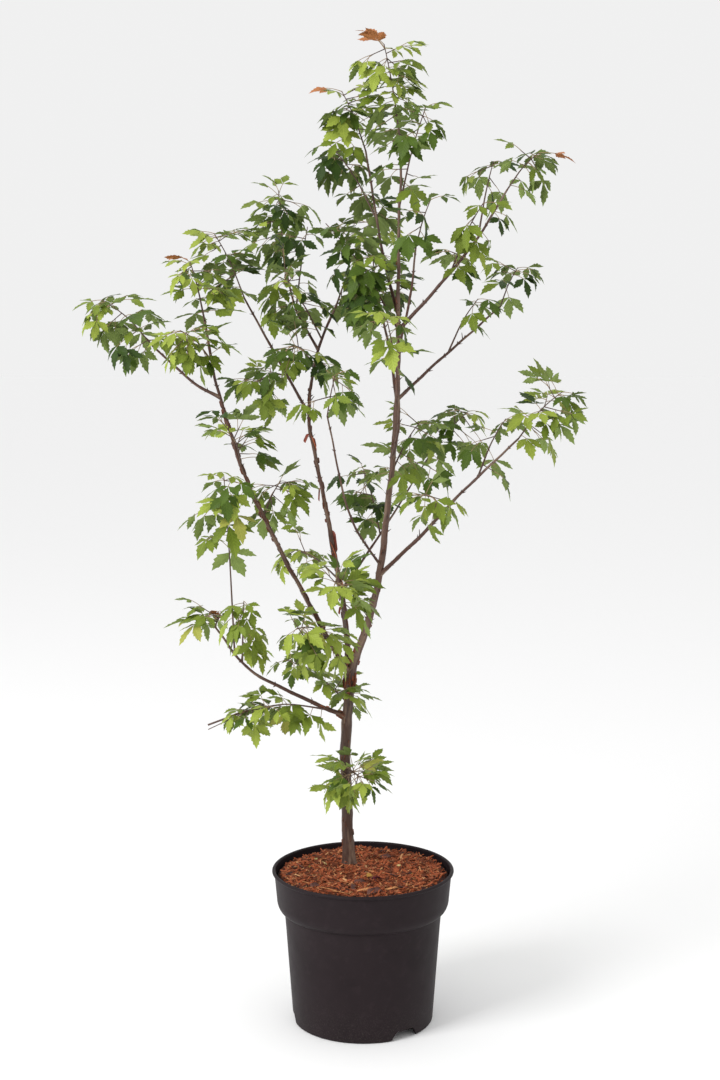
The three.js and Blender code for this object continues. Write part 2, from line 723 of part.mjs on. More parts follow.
function notchSolid(bearing) {
  const outline = new THREE.Shape([
    new THREE.Vector2(-NOTCH_FOOT_WIDTH / 2, -1),
    new THREE.Vector2(NOTCH_FOOT_WIDTH / 2, -1),
    new THREE.Vector2(NOTCH_TOP_WIDTH / 2, NOTCH_HEIGHT),
    new THREE.Vector2(-NOTCH_TOP_WIDTH / 2, NOTCH_HEIGHT),
  ]);
  const geometry = new THREE.ExtrudeGeometry(outline, { depth: NOTCH_DEPTH, bevelEnabled: false });
  geometry.rotateX(Math.PI / 2);
  geometry.translate(0, -BASE_RADIUS + NOTCH_DEPTH / 2, 0);
  geometry.rotateZ(radians(bearing));
  return solidFrom(geometry);
}

function potSolid() {
  const inside = potInside(0, 3).reverse();
  let solid = latheSolid([...potOutside(), ...lipOutline(), ...inside]);
  for (let i = 0; i < NOTCH_COUNT; i++) {
    solid = solid.subtract(notchSolid(NOTCH_FIRST_BEARING + 360 * i / NOTCH_COUNT));
  }
  return largestBody(solid);
}

function mulchSolid() {
  const edge = COLLAR_TOP_RADIUS - POT_WALL - 2 * CLEARANCE - LIP_RADIUS / 2;
  return latheSolid([
    ...potInside(CLEARANCE, 1),
    [edge, SOIL_TOP - SOIL_EDGE_DROP],
    [SOIL_FLAT_RADIUS, SOIL_TOP],
    [0, SOIL_TOP],
  ]);
}

// Scene graph

function meshFrom(name, solid, finish) {
  const { vertProperties, triVerts, numProp } = solid.getMesh();
  const geometry = new THREE.BufferGeometry();
  const positions = [];
  for (let i = 0; i < vertProperties.length; i += numProp) {
    positions.push(...vertProperties.slice(i, i + 3));
  }
  geometry.setAttribute('position', new THREE.Float32BufferAttribute(positions, 3));
  geometry.setIndex(Array.from(triVerts));
  geometry.computeVertexNormals();
  const material = new THREE.MeshStandardMaterial({ ...finish, metalness: 0 });
  const mesh = new THREE.Mesh(geometry, material);
  mesh.name = name;
  return mesh;
}

function buildPlant() {
  const plant = new THREE.Group();
  plant.add(meshFrom('pot', potSolid(), FINISHES.pot));
  plant.add(meshFrom('mulch', mulchSolid(), FINISHES.mulch));
  for (const [name, sizes] of Object.entries(LIMBS)) layOutLimb(name, sizes);
  Object.entries(MASSES).forEach(([name, sizes], index) => layOutMass(name, sizes, index));
  buildLimbs();
  for (const limb of Object.values(limbs)) {
    const finish = limb.name.startsWith('bough') ? FINISHES.bough : FINISHES.bark;
    plant.add(meshFrom(limb.name, limb.solid, finish));
  }
  for (const mass of Object.values(masses)) {
    plant.add(meshFrom(mass.name, massSolid(mass), FINISHES.leaf));
  }
  return plant;
}

export default buildPlant();
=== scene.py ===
"""Paperbark maple in a nursery pot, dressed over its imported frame.

Every group of pieces has its own operator: the pot, the mulch, the bark of trunk and boughs, its
peeling curls, the buds, the twigs, the leaves and the stage. Lengths in the tables are millimetres
in the frame of the solids: +Z up, -Y towards the front, the origin under the pot's middle.
"""

from collections import namedtuple
import math

import bpy
import bmesh
import numpy as np
from bpy.props import FloatProperty, FloatVectorProperty, IntProperty, PointerProperty
from mathutils import Matrix, Vector
from numpy.linalg import norm


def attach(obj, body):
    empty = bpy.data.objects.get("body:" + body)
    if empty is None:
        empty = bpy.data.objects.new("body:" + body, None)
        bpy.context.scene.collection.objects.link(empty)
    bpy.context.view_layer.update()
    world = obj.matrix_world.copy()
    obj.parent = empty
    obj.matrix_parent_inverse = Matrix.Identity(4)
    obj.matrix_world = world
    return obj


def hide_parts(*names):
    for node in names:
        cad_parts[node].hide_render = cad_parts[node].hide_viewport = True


bl_info = {
    "name": "Paperbark Maple in a Pot",
    "version": (1, 0, 0),
    "blender": (4, 5, 0),
    "location": "View3D > Sidebar > Maple",
    "description": "Dresses the solids of a potted paperbark maple with bark, leaves, mulch and pot",
    "category": "Add Mesh",
}

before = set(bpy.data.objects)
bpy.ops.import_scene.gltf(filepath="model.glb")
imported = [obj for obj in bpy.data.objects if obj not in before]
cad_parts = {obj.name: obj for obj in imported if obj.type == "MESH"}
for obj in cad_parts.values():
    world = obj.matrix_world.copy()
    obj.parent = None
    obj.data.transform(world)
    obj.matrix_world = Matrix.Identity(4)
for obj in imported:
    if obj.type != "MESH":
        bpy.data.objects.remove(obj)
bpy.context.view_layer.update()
MM = 0.001
UP = np.array([0, 0, 1.0])
FRONT = np.array([0, -1.0, 0])
# Span of a random phase, in radians
PHASES = 6.28

# Seeds of the random numbers
TRUNK_SEED = 41
LEADER_NODE_SEED = 5
RELIEF_SEED = 7
NODE_SEED = 13
PEEL_SEED = 77
BUD_PLACE_SEED = 501
BUD_SEED = 4
LEAF_SEED = 909

# Pot: the sizes of the solid pot, with a finer outline
POT_HEIGHT = 300
POT_WALL = 3
LIP_RADIUS = 5
LIP_CENTRE = 170.5
ROLL_RADIUS = 3.4
COLLAR_TOP_RADIUS = 170
COLLAR_FOOT_RADIUS = 166.5
COLLAR_FOOT_HEIGHT = 244
SHOULDER_WIDTH = 15
SHOULDER_HEIGHT = 25
BASE_RADIUS = 136
BASE_CORNER = 5
FOOT_DISC_RADIUS = 95
FOOT_RING_RADIUS = 131
FOOT_HOLLOW = 20
FOOT_DRAFT = 2
NOTCH_COUNT = 3
NOTCH_FIRST_BEARING = 36
NOTCH_FOOT_WIDTH = 62
NOTCH_TOP_WIDTH = 44
NOTCH_HEIGHT = 18
NOTCH_DEPTH = 24
NOTCH_CORNER = 6
POT_WALL_STEPS = 8
CORNER_STEPS = 5
SHOULDER_STEPS = 10
LIP_ARC = (-62, 200)
LIP_STEPS = 14
SHARP_ANGLE = 40
PLASTIC_ROUGHNESS = (0.44, 0.62)
DUST_TOP = 90
DUST_SHARE = 0.35

# Mulch in the pot
SOIL_TOP = 290
SOIL_EDGE_DROP = 6
SOIL_RADIUS = 164.5
MULCH_DEPTH = 26
MULCH_TAPER = 3
BED_SPOKES = 120
BED_RINGS = 40
SOURCE_SPOKES = 60
SOURCE_RINGS = 20
MULCH_LIFT = 2.0
# The mulch is level out to this radius, drops from there to the wall and is heaped round the trunk
LEVEL_RADIUS = 140
HEAP_PLACE = (-27, 45)
HEAP_HEIGHT = 3.0
HEAP_REACH = 30
# Bits of litter on the mulch by kind: the tone, then the place, turn, length and width of each
LITTER = {
    "ochre": ((0.42, 0.22, 0.05), ((14, -46, 0.6, 13, 9), (-102, 18, 1.2, 8, 5), (96, -30, 2.0, 8, 5))),
    "plum": ((0.10, 0.012, 0.022), ((33, -54, 2.4, 15, 10), (24, -60, 0.8, 9, 7))),
    "cream": ((0.50, 0.38, 0.16), ((-72, 38, 1.9, 12, 8), (-92, 66, 0.3, 8, 5), (70, 22, 0.2, 9, 5))),
    "splinter": ((0.56, 0.25, 0.10), (
        (-62, -118, 2.6, 42, 5), (-40, -132, 2.9, 38, 5), (2, -122, 0.7, 34, 4), (52, -112, 0.3, 30, 5),
        (-20, -92, 2.0, 30, 3), (84, -84, 1.4, 28, 3), (-108, -72, 2.2, 26, 3), (-36, -70, 2.3, 24, 3),
        (112, 2, 1.7, 26, 4), (40, 92, 0.2, 26, 4))),
    "husk": ((0.115, 0.050, 0.040), (
        (22, -136, 0.4, 30, 13), (-14, -112, 1.5, 26, 11), (78, -108, 2.6, 24, 10), (-6, -78, 0.5, 22, 9),
        (-88, -98, 0.9, 24, 10), (60, -40, 2.2, 20, 8), (46, 74, 0.5, 24, 10), (-120, 20, 2.0, 22, 9))),
}
LITTER_LIFT = 4
LITTER_TILT = 0.12
LITTER_CURL = 1.2
LITTER_THICKNESS = 0.8
# Shreds strewn over the mulch by kind: reach from the middle, size, corners along it, lean, share of the
# density, seed, tone and the share of that tone
SHREDS = {
    "mulch_chips": (150, (26, 9, 2.2), 3, 0.40, 0.11, 3, "rust", 0.75),
    "mulch_shreds": (149, (36, 3.4, 1.6), 5, 0.42, 0.55, 5, "rust", 1),
    "mulch_shreds_damp": (150, (30, 4.4, 1.7), 5, 0.42, 0.46, 11, "rust", 0.36),
    "mulch_shreds_ginger": (149, (30, 2.4, 1.2), 5, 0.42, 0.26, 13, "ginger", 1),
    "mulch_shreds_edge": (160, (12, 2.4, 1.5), 3, 0.50, 0.60, 17, "rust", 0.8),
    "mulch_splinters": (147, (33, 2.8, 1.3), 4, 0.30, 0.055, 23, "straw", 1),
    "mulch_fibres": (155, (22, 1.0, 0.8), 5, 0.70, 0.60, 31, "rust", 1.2),
    "mulch_fibres_pale": (152, (18, 0.9, 0.7), 5, 0.60, 0.24, 37, "straw", 1),
}
SHRED_SCALES = ((0.35, 0.5, 0.5), (1.0, 1.3, 1.3))
SWIRL_SCALE = 48.0
SCALE_SEED_STEP = 7

# Rules of the limbs and masses, as in the solids
CLEARANCE = 0.3
LEAF_TO_LIMB = 4
SPACE_MARGIN = 3
SPAN_STEPS = 12
LIMB_STEPS = 24
COLLAR_SWELL = 0.3
COLLAR_LENGTH = 14
TWIG_STEPS = 4
STEM_RISE = 0.08
NODE_SPACING = 34
LONGEST_LEAFY_STEM = 150
PASSES = 4
TRIES = 4
SINGLE_LEAF_SHARE = 0.4
SHOOT_SHARE = (0.15, 0.45)
SHOOT_LEAN = (60, 95)
NODE_TURN = 90
PASS_TURN = 45
TURN_WANDER = 20
RETRY_WANDER = 15
TIP_PAIR_SETBACKS = (7, 11)
SHOOT_PAIR_PLACES = (0.42, 0.56)
LEAFLET_LENGTH = 68
SIDE_LEAFLET_SHARE = 0.82
LEAFLET_SPLAY = 60
NOTCH_SHARE = 0.48
HEEL_SHARE = 0.14
HEEL_ANGLE = 125
LEAFLET_CURL = 0.12
LEAF_SIZES = (0.78, 1.12)
STALK_LENGTHS = (18, 32)
STALK_SINK = 1
STALK_LIFT = -0.3
TIP_LIFT_SHARE = 0.3
YOUNG_SHARE = 0.72
YOUNG_LENGTH = 60
LEAF_FAN = (35, 65)
LEAF_DROOP = (30, 62)
LEAF_ROLL = 28
HEADING_WANDER = 25
LEAST_LEVEL = 0.2
STALK_CHECKS = (0.35, 0.7)
# Corners of a leaf's blade: angle from the middle line, share of its length, and how far each curls down
BLADE_CORNERS = (
    (HEEL_ANGLE, HEEL_SHARE, 0), (LEAFLET_SPLAY, SIDE_LEAFLET_SHARE, LEAFLET_CURL),
    (LEAFLET_SPLAY / 2, NOTCH_SHARE, 0), (0, 1, LEAFLET_CURL), (-LEAFLET_SPLAY / 2, NOTCH_SHARE, 0),
    (-LEAFLET_SPLAY, SIDE_LEAFLET_SHARE, LEAFLET_CURL), (-HEEL_ANGLE, HEEL_SHARE, 0))

# Limbs: bearer, share of its length, radii of foot and tip, and the points that it runs through
LIMBS = {
    "trunk": (None, 0, (11.5, 9), [(-27, 45, SOIL_TOP + CLEARANCE), (-34, 35, 505), (-25, 30, 675)]),
    "stem_right": ("trunk", 1, (7.5, 2), [
        (25, 30, 835), (55, 20, 1080), (65, 10, 1250), (65, 0, 1460), (70, -10, 1660)]),
    "stem_middle": ("trunk", 1, (5.5, 2.2), [
        (-40, 70, 815), (-85, 110, 1055), (-105, 110, 1170), (-85, 100, 1295), (-50, 90, 1380)]),
    "stem_left": ("trunk", 1, (5, 2.2), [
        (-95, -10, 805), (-210, -70, 1050), (-265, -95, 1235), (-285, -105, 1350)]),
    "bough_low_left": ("trunk", 0.78, (4.4, 1.8), [(-115, 0, 635), (-215, -40, 700), (-275, -70, 785)]),
    "bough_outer_left": ("stem_left", 0.81, (3, 1.7), [(-310, -80, 1240), (-385, -60, 1305)]),
    "bough_inner_left": ("stem_middle", 0.7, (3, 1.7), [(-160, 60, 1275), (-220, 10, 1390)]),
    "bough_high_left": ("stem_middle", 0.87, (2.6, 1.6), [(-130, 160, 1370), (-155, 190, 1470)]),
    "bough_cross": ("stem_middle", 0.22, (2.6, 1.7), [(40, 180, 935), (95, 240, 1015)]),
    "bough_thin_left": ("stem_right", 0.22, (2.4, 1.5), [(-25, -60, 995), (-65, -110, 1180)]),
    "bough_low_right": ("stem_right", 0.2, (4, 1.8), [(115, -10, 955), (190, -40, 1040), (285, -65, 1135)]),
    "bough_mid_right": ("stem_right", 0.54, (3.2, 1.7), [(135, 70, 1265), (265, 140, 1375)]),
    "bough_high_right": ("stem_right", 0.67, (3.6, 1.8), [
        (150, -25, 1425), (215, -45, 1510), (260, -60, 1585)]),
    "bough_inner_right": ("stem_right", 0.63, (2.8, 1.6), [(85, -60, 1390), (95, -95, 1485)]),
    "bough_second_leader": ("stem_right", 0.7, (3.2, 1.8), [(40, 60, 1460), (15, 80, 1605), (5, 75, 1665)]),
    "bough_front_high": ("stem_right", 0.43, (3, 1.7), [(65, -100, 1165), (60, -190, 1250)]),
    "bough_back_high": ("stem_right", 0.54, (3.2, 1.8), [(50, 130, 1300), (25, 220, 1415)]),
}

# Masses: bearer, share of its length, tip of the mass's stem, reach round it, leaves of the solid
MASSES = {
    "leaves_top": ("stem_right", 1, (38, -10, 1848), 95, 16),
    "leaves_top_left": ("bough_second_leader", 1, (-40, 80, 1775), 95, 13),
    "leaves_leader_front": ("stem_right", 0.9, (112, -70, 1730), 90, 10),
    "leaves_leader_back": ("bough_second_leader", 0.6, (-62, 130, 1680), 90, 10),
    "leaves_inner_right": ("bough_inner_right", 1, (120, -115, 1565), 90, 8),
    "leaves_heart": ("stem_right", 0.67, (-70, 50, 1530), 100, 13),
    "leaves_back_high": ("bough_back_high", 1, (10, 280, 1550), 95, 11),
    "leaves_front_high": ("bough_front_high", 1, (38, -235, 1365), 90, 9),
    "leaves_high_left": ("bough_high_left", 1, (-165, 210, 1600), 95, 12),
    "leaves_high_middle": ("bough_high_left", 0.5, (-105, 90, 1525), 90, 9),
    "leaves_inner_left": ("bough_inner_left", 1, (-275, 0, 1510), 95, 12),
    "leaves_stem_left": ("stem_left", 1, (-308, -125, 1455), 90, 9),
    "leaves_far_left": ("bough_outer_left", 1, (-475, -60, 1388), 85, 11),
    "leaves_between_left": ("stem_left", 0.9, (-320, -200, 1335), 85, 8),
    "leaves_middle_top": ("stem_middle", 1, (-20, 110, 1450), 95, 6),
    "leaves_middle_front": ("stem_middle", 0.82, (-130, -70, 1305), 90, 8),
    "leaves_middle_back": ("bough_inner_left", 0.35, (-205, 130, 1230), 90, 9),
    "leaves_middle_left": ("stem_middle", 0.9, (-150, -30, 1425), 90, 8),
    "leaves_thin_left": ("bough_thin_left", 1, (-50, -130, 1255), 90, 6),
    "leaves_left_upper": ("stem_left", 0.63, (-232, -170, 1150), 80, 7),
    "leaves_left_lower": ("bough_low_left", 0.8, (-250, -150, 1075), 95, 12),
    "leaves_left_inner": ("stem_left", 0.49, (-155, 10, 1050), 85, 7),
    "leaves_rear": ("stem_middle", 0.25, (-140, 190, 895), 80, 6),
    "leaves_cross_inner": ("bough_cross", 0.56, (0, 280, 1050), 90, 9),
    "leaves_cross": ("bough_cross", 1, (215, 290, 1165), 105, 12),
    "leaves_right_inner": ("stem_right", 0.4, (110, 60, 1160), 85, 9),
    "leaves_low_right_inner": ("bough_low_right", 0.48, (110, -130, 1040), 75, 5),
    "leaves_low_right": ("bough_low_right", 1, (362, -85, 1222), 95, 11),
    "leaves_low_right_middle": ("bough_low_right", 0.73, (270, 40, 1165), 80, 7),
    "leaves_high_right": ("bough_high_right", 1, (315, -70, 1650), 75, 6),
    "leaves_high_right_middle": ("bough_high_right", 0.45, (215, -90, 1560), 90, 10),
    "leaves_high_right_outer": ("bough_high_right", 0.7, (240, 15, 1640), 75, 6),
    "leaves_mid_right": ("bough_mid_right", 1, (300, 165, 1450), 80, 7),
    "leaves_mid_right_inner": ("bough_mid_right", 0.51, (215, 30, 1390), 75, 6),
    "leaves_front": ("stem_middle", 0.11, (-50, -190, 890), 95, 10),
    "leaves_fork_left": ("trunk", 0.85, (-145, 20, 705), 90, 9),
    "leaves_low_left_upper": ("bough_low_left", 0.73, (-215, -165, 850), 85, 9),
    "leaves_low_middle": ("stem_left", 0.1, (-120, -165, 800), 100, 8),
    "leaves_low_left": ("bough_low_left", 1, (-265, -45, 810), 100, 5),
    "leaves_low_shoot": ("bough_low_left", 0.1, (-238, 30, 600), 75, 8),
    "leaves_sprout": ("trunk", 0.47, (-5, -80, 500), 85, 11),
}

# Masses whose shoots still grow, and how many bronze leaves they end in
GROWING_TIPS = {"leaves_top": 3, "leaves_top_left": 1, "leaves_high_right": 1, "leaves_stem_left": 1,
                "leaves_low_left": 1}
# Masses whose darker leaves are the crown's painted shade, and those of fresh leaves low down and at the top
SHADED = ("leaves_heart", "leaves_high_middle", "leaves_back_high", "leaves_leader_back",
          "leaves_middle_left", "leaves_middle_top", "leaves_inner_right", "leaves_cross_inner")
FRESH = ("leaves_low_left", "leaves_low_middle", "leaves_fork_left", "leaves_low_shoot", "leaves_sprout",
         "leaves_low_left_upper", "leaves_front", "leaves_left_lower", "leaves_top", "leaves_top_left")

# Masses that are fuller or thinner than the rest, with their share of the leaves grown
CROWDING = {
    "leaves_low_left_upper": 1.8, "leaves_low_middle": 1.5, "leaves_heart": 1.4, "leaves_low_shoot": 1.4,
    "leaves_between_left": 1.3, "leaves_sprout": 1.25, "leaves_low_left": 1.1, "leaves_left_inner": 1.1,
    "leaves_front": 1.1, "leaves_fork_left": 1.1, "leaves_middle_front": 0.9, "leaves_top_left": 0.9,
    "leaves_high_middle": 0.8, "leaves_leader_front": 0.7, "leaves_left_lower": 0.65,
    "leaves_high_right_middle": 0.6, "leaves_front_high": 0.6, "leaves_mid_right": 0.6,
    "leaves_low_right_middle": 0.55, "leaves_high_right_outer": 0.5, "leaves_inner_right": 0.35,
    "leaves_mid_right_inner": 0.35,
}

# Masses whose leaves stand more upright than the others', in degrees
UPRIGHT = {"leaves_top": 16, "leaves_top_left": 16, "leaves_leader_front": 12, "leaves_inner_left": 12,
           "leaves_stem_left": 12, "leaves_high_left": 10, "leaves_low_right": 12, "leaves_sprout": 8}

# Half of a leaflet's outline from its foot to its tip, as shares of its length: coarse blunt teeth.
# The rim waves, and a fold and a sag bend the blade
LEAFLET_EDGE = ((0, 0.010), (0.09, 0.050), (0.22, 0.125), (0.34, 0.185), (0.455, 0.245), (0.495, 0.185),
                (0.64, 0.225), (0.675, 0.145), (0.80, 0.150), (0.83, 0.085), (1, 0.004))
SHEET_COLUMNS = (-1, -0.52, 0, 0.52, 1)
VEIN_SLANT = 0.55
LEAFLET_FOLD = 0.20
LEAFLET_SAG = 0.17
RIM_WAVE = 0.035
RIM_WAVES = 9
RIM_SHIFT = 1.2
FULL_HALF_WIDTH = 0.28
LEAF_HALF_THICKNESS = 0.25

# Growth past the solids: leaves are drawn at life size, and finer ones fill in between them
LIFE_SHARE = 0.80
FINER_SHARE = 0.68
BLADE_LIFT = (8, 42)
FINER_OFFSET = 0.25
FINER_TURN = 22

# Tints of a spray with the share of sprays that take each, from the first chance up
# The shade tint, wherever it falls, and the dark tints that fill the shaded masses are painted shade
SHADED_TINTS = (("shade", 0.45), ("deep", 0.80), ("green", 0.97), ("fresh", 1))
FRESH_TINTS = (("golden", 0.03), ("fresh", 0.46), ("green", 0.90), ("deep", 1))
COMMON_TINTS = (("golden", 0.02), ("fresh", 0.22), ("green", 0.64), ("deep", 0.91), ("shade", 1))
# The underside of a tint, where it isn't the common one, and each underside's colour with its share
# The darker underside of the shade tint is painted shade as well; the deep tint takes the same underside
UNDERSIDES = {"bronze": "bronze_underside", "shade": "deep_underside", "deep": "deep_underside"}
UNDERSIDE_TONES = {"underside": ("underside", 1.0), "deep_underside": ("underside", 0.72),
                   "bronze_underside": ("bronze", 0.9)}

# Leaflets of a leaf: side, share of the middle one's length, and how far from the stalk's end they start
LEAFLETS = ((0, 1.0, 2.5), (1, SIDE_LEAFLET_SHARE, 0.6), (-1, SIDE_LEAFLET_SHARE, 0.6))
# How leaflets vary: shares of their length and width, fold and sag, and angles in degrees
LENGTH_SHARES = (0.94, 1.06)
WIDTH_SHARES = (0.92, 1.12)
FOLD_SHARES = (0.3, 1.3)
SAG_SHARES = (0.4, 1.5)
SIDE_SPLAYS = (48, 62)
SIDE_TILTS = (0, 16)
SPLAY_WANDER = 4
TILT_WANDER = 14
DROOPS = (-4, 14)
BEND_WANDER = 0.10
OUTER_HALF = 0.16

# How far the ends of tubes are drawn out to a point
TRUNK_PINCH = 0.5
LIMB_PINCH = 0.4
TWIG_PINCH = 0.3
FINE_PINCH = 0.2
# Twigs and stalks: sides and radii along them
TWIG_RADIUS = 1.9
TWIG_TIP_RADIUS = 0.8
TWIG_SHARE = 0.85
TWIG_SIDES = 8
TWIG_FINE_STEPS = 16
TWIG_TONE_SHARE = 1.15
SHOOT_SIDES = 6
SHOOT_RADII = (1.05, 0.95, 0.9, 0.8)
STALK_SIDES = 5
STALK_RADII = (0.85, 0.65, 0.6, 0.58, 0.6, 0.75)
STALK_ARCH = 0.05
# Bare ends that stick out past the leaves of a mass: share of its stem where each begins, end and radius
BARE_ENDS = (("leaves_low_shoot", 0.94, (-299, 30, 575), 1.9),
             ("leaves_low_shoot", 0.90, (-298, 22, 568), 0.9))

# Bark in relief. Ridges: waves round the limb, waves along it and height of each set
RIDGES = ((1, 0.012, 0.9), (2, 0.03, 0.9), (3, 0.05, 1.0), (4, 0.09, 0.7), (5, 0.14, 0.6), (7, 0.22, 0.5),
          (9, 0.31, 0.4))
RIDGE_SWING = 1.4
# Wander of a limb's line: waves along it, reach, and the length at each end where it dies away
WANDER_WAVES = (0.035, 0.083)
WANDER_REACH = 0.55
CALM_LENGTH = 40
CALM_RADIUS = 6
# Swollen nodes: place after the fork, height and width of those on the trunk, then spacing, height and width
# of the ones along the leader and the other limbs
FORK_NODES = ((-4, 0.34, 13), (-34, 0.06, 9), (-100, 0.10, 12))
FOOT_NODE = (0, 0.10, 16)
LEADER_NODES = (52, 0.10, 4)
LEADER_LENGTH = 980
LIMB_NODES = (42, 0.13, 3.5)
NODE_HEIGHTS = (0.5, 1.2)
NODE_GAPS = (0.6, 1.4)
NODE_FREE_END = 10
# Length of the steps along the limbs' lines
LEAST_STEPS = 12
TRUNK_STEP = 3.2
LEADER_STEP = 3.6
LIMB_STEP = 4.0
# Steps that the trunk's radius blends over at the fork, and those of its root flare, which stay as they are
BLEND_STEPS = 9
FLARE_STEPS = 4
TRUNK_SIDES = 30
TRUNK_PEELING = 0.22
# Bark of the other limbs: sides, roughness and how much of it peels. It is nowhere smooth
STEM_BARK = (20, 2.4, 0.35)
BOUGH_BARK = (14, 1.0, 0.10)
NOWHERE = 1e3
# Stems and boughs are a little redder than the trunk
TRUNK_TINGE = (1, 1, 1)
STEM_TINGE = (1.06, 0.86, 0.82)
BARK_SPECULAR = 0.4
BARK_BUMP = 0.6
BARK_BUMP_DEPTH = 1.2

# Peeling curls: range of places as shares of the limb's length, of lengths and of widths
FLAKES = ((0.03, 0.80), (6, 18), (2.0, 4.2))
KNOT_CURLS = ((0.94, 1.0), (9, 22), (4, 9))
FOOT_CURLS = ((0.0, 0.05), (8, 17), (3, 6))
TRUNK_STRIPS = ((0.89, 0.97), (14, 26), (3, 5))
BOUGH_STRIPS = ((0.05, 0.20), (6, 12), (3, 5))
BOUGH_STRIP_COUNT = 4
FLAKING = ("trunk", "stem_left", "stem_middle", "stem_left", "stem_middle", "stem_right")
KNOT_FEET = ("stem_left", "stem_middle", "stem_right", "bough_low_left")
# Angle about the front in which strips are strewn
TRUNK_STRIP_FACING = 1.2
LONG_STRIP_FACING = 2.6
# Places of the long strips on the middle stem, as shares of its length
LONG_STRIPS = (0.25, 0.31, 0.33, 0.62)
LONG_STRIP_SIZES = ((24, 40), (4, 6))
# Peels that hang off that stem: share of its length, degrees that they lean out to the right or, less
# than nothing, to the left, and their length, width and curl
HANGING_PEELS = ((0.385, 7, 46, 8, 0.9), (0.645, -24, 19, 7, 1.0), (0.635, 12, 20, 5, 1.2),
                 (0.50, -3, 27, 3.4, 0.8), (0.18, -10, 16, 5, 1.1))
HANGING_TONE = (0.370, 0.090, 0.058)
# Share of the cinnamon in each kind of curl
PEEL_SHARES = {"bark_flakes": 0.40, "bark_knot": 0.62, "bark_strips": 1.15}
CURL_ROWS = 4
CURL_COLUMNS = 7
CURL_SINK = 0.5
OUTER_TEAR = 0.35
INNER_TEAR = 0.14
CURL_TILT = 14
CURL_SEAT = 0.99
HANGING_SEAT = 0.8
TIGHTNESS = (1.0, 3.4)
PEEL_THICKNESS = 0.22

# Buds in pairs along each limb: place of the first pair and spacing, then length, width and scales
FIRST_BUDS = (25, 45)
BUD_SPACING = (26, 48)
BUD_FREE_END = 15
BUD_SLANT = 0.9
BUD_SEAT = 0.85
BUD_LENGTH = 5.5
BUD_WIDTH = 1.3
BUD_TIP_RADIUS = 0.2
BUD_TONE_SHARE = 0.9
BUD_SCALES = ((0.6, 0.6, 0.5), (1.2, 1.2, 1.6))
# A direction that no limb runs in
ASIDE = (0.3, 1.0, 0.1)
# Short dead twigs on each limb
SPURS = {"stem_right": 9, "stem_middle": 4, "stem_left": 3, "bough_low_right": 4, "bough_high_right": 2,
         "bough_mid_right": 2}
SPUR_PLACES = (0.06, 0.75)
SPUR_SLANTS = (0.7, 1.7)
SPUR_SEAT = 0.6
SPUR_LENGTHS = (5, 14)
SPUR_BEND = 2.5
SPUR_RADII = (1.3, 0.95, 0.8, 0.75, 0.5)
SPUR_SIDES = 6

# Finishes with a mottled tone: scale of the mottle, shares of its dark and light tones, roughness, specular
# level, and strength and depth of the relief
Finish = namedtuple("Finish", "scale dark light rough specular relief depth")
CHIP_FINISH = Finish(scale=60.0, dark=0.35, light=1.7, rough=0.85, specular=0.25, relief=0.5, depth=1)
BED_FINISH = CHIP_FINISH._replace(scale=120.0)
PLASTIC_FINISH = Finish(scale=9.0, dark=0.8, light=1.25, rough=0.5, specular=0.12, relief=0.12, depth=0.4)
CURL_FINISH = Finish(scale=90.0, dark=0.35, light=1.8, rough=0.55, specular=0.5, relief=0.4, depth=0.6)
BUD_FINISH = Finish(scale=110.0, dark=0.6, light=1.5, rough=0.5, specular=0.5, relief=0.3, depth=0.5)
TWIG_FINISH = BUD_FINISH._replace(rough=0.55)
UPPER_FINISH = Finish(scale=14.0, dark=0.74, light=1.12, rough=0.48, specular=0.16, relief=0.35, depth=0.8)
LOWER_FINISH = UPPER_FINISH._replace(rough=0.8, specular=0.12)
UPPER_VEIN_SHARE = 1.6
LOWER_VEIN_SHARE = 1.2
VEIN_STRENGTH = 0.45

# Studio: place, size in metres and power in watts of each light, the point that they face, and the camera
LIGHTS = {"key": ((-3.0, -2.3, 3.0), 1.8, 125), "fill": ((3.0, -2.6, 2.4), 3.0, 3)}
LIGHT_AIM = (0, 0, 0.9)
FLOOR_REACH = 30
FLOOR_ROUGHNESS = 0.9
FLOOR_SPECULAR = 0.1
SENSOR_HEIGHT = 36
LENS = 60
CAMERA_REACH = 100


# Settings that a user can change

def colour_setting(name, description, default):
    """A colour of one finish."""
    return FloatVectorProperty(
        name=name, description=description, subtype="COLOR", size=3, default=default, min=0, max=1)


class MaplePot(bpy.types.PropertyGroup):
    """Sizes and colours of the pot"""
    segments: IntProperty(name="Segments", description="Faces round the pot", default=144, min=24)
    plastic: colour_setting("Plastic", "Colour of the pot's plastic", (0.0168, 0.0108, 0.0126))
    dust: colour_setting("Dust", "Colour of the dust on the pot", (0.10, 0.085, 0.075))


class MapleMulch(bpy.types.PropertyGroup):
    """Sizes and colours of the mulch"""
    density: FloatProperty(
        name="Density", description="Shreds of the commonest kinds per square metre", default=27000, min=0)
    bend: FloatProperty(
        name="Bend", description="How far the shreds are bent", default=0.012, min=0, unit="LENGTH")
    rust: colour_setting("Rust", "Colour of most bark chips", (0.320, 0.080, 0.029))
    # Partly the damp mulch's own tone, partly painted shade in the gaps between the chips
    dark: colour_setting("Dark", "Colour of the damp mulch between the chips", (0.040, 0.012, 0.008))
    straw: colour_setting("Straw", "Colour of the pale wood splinters", (0.56, 0.29, 0.13))


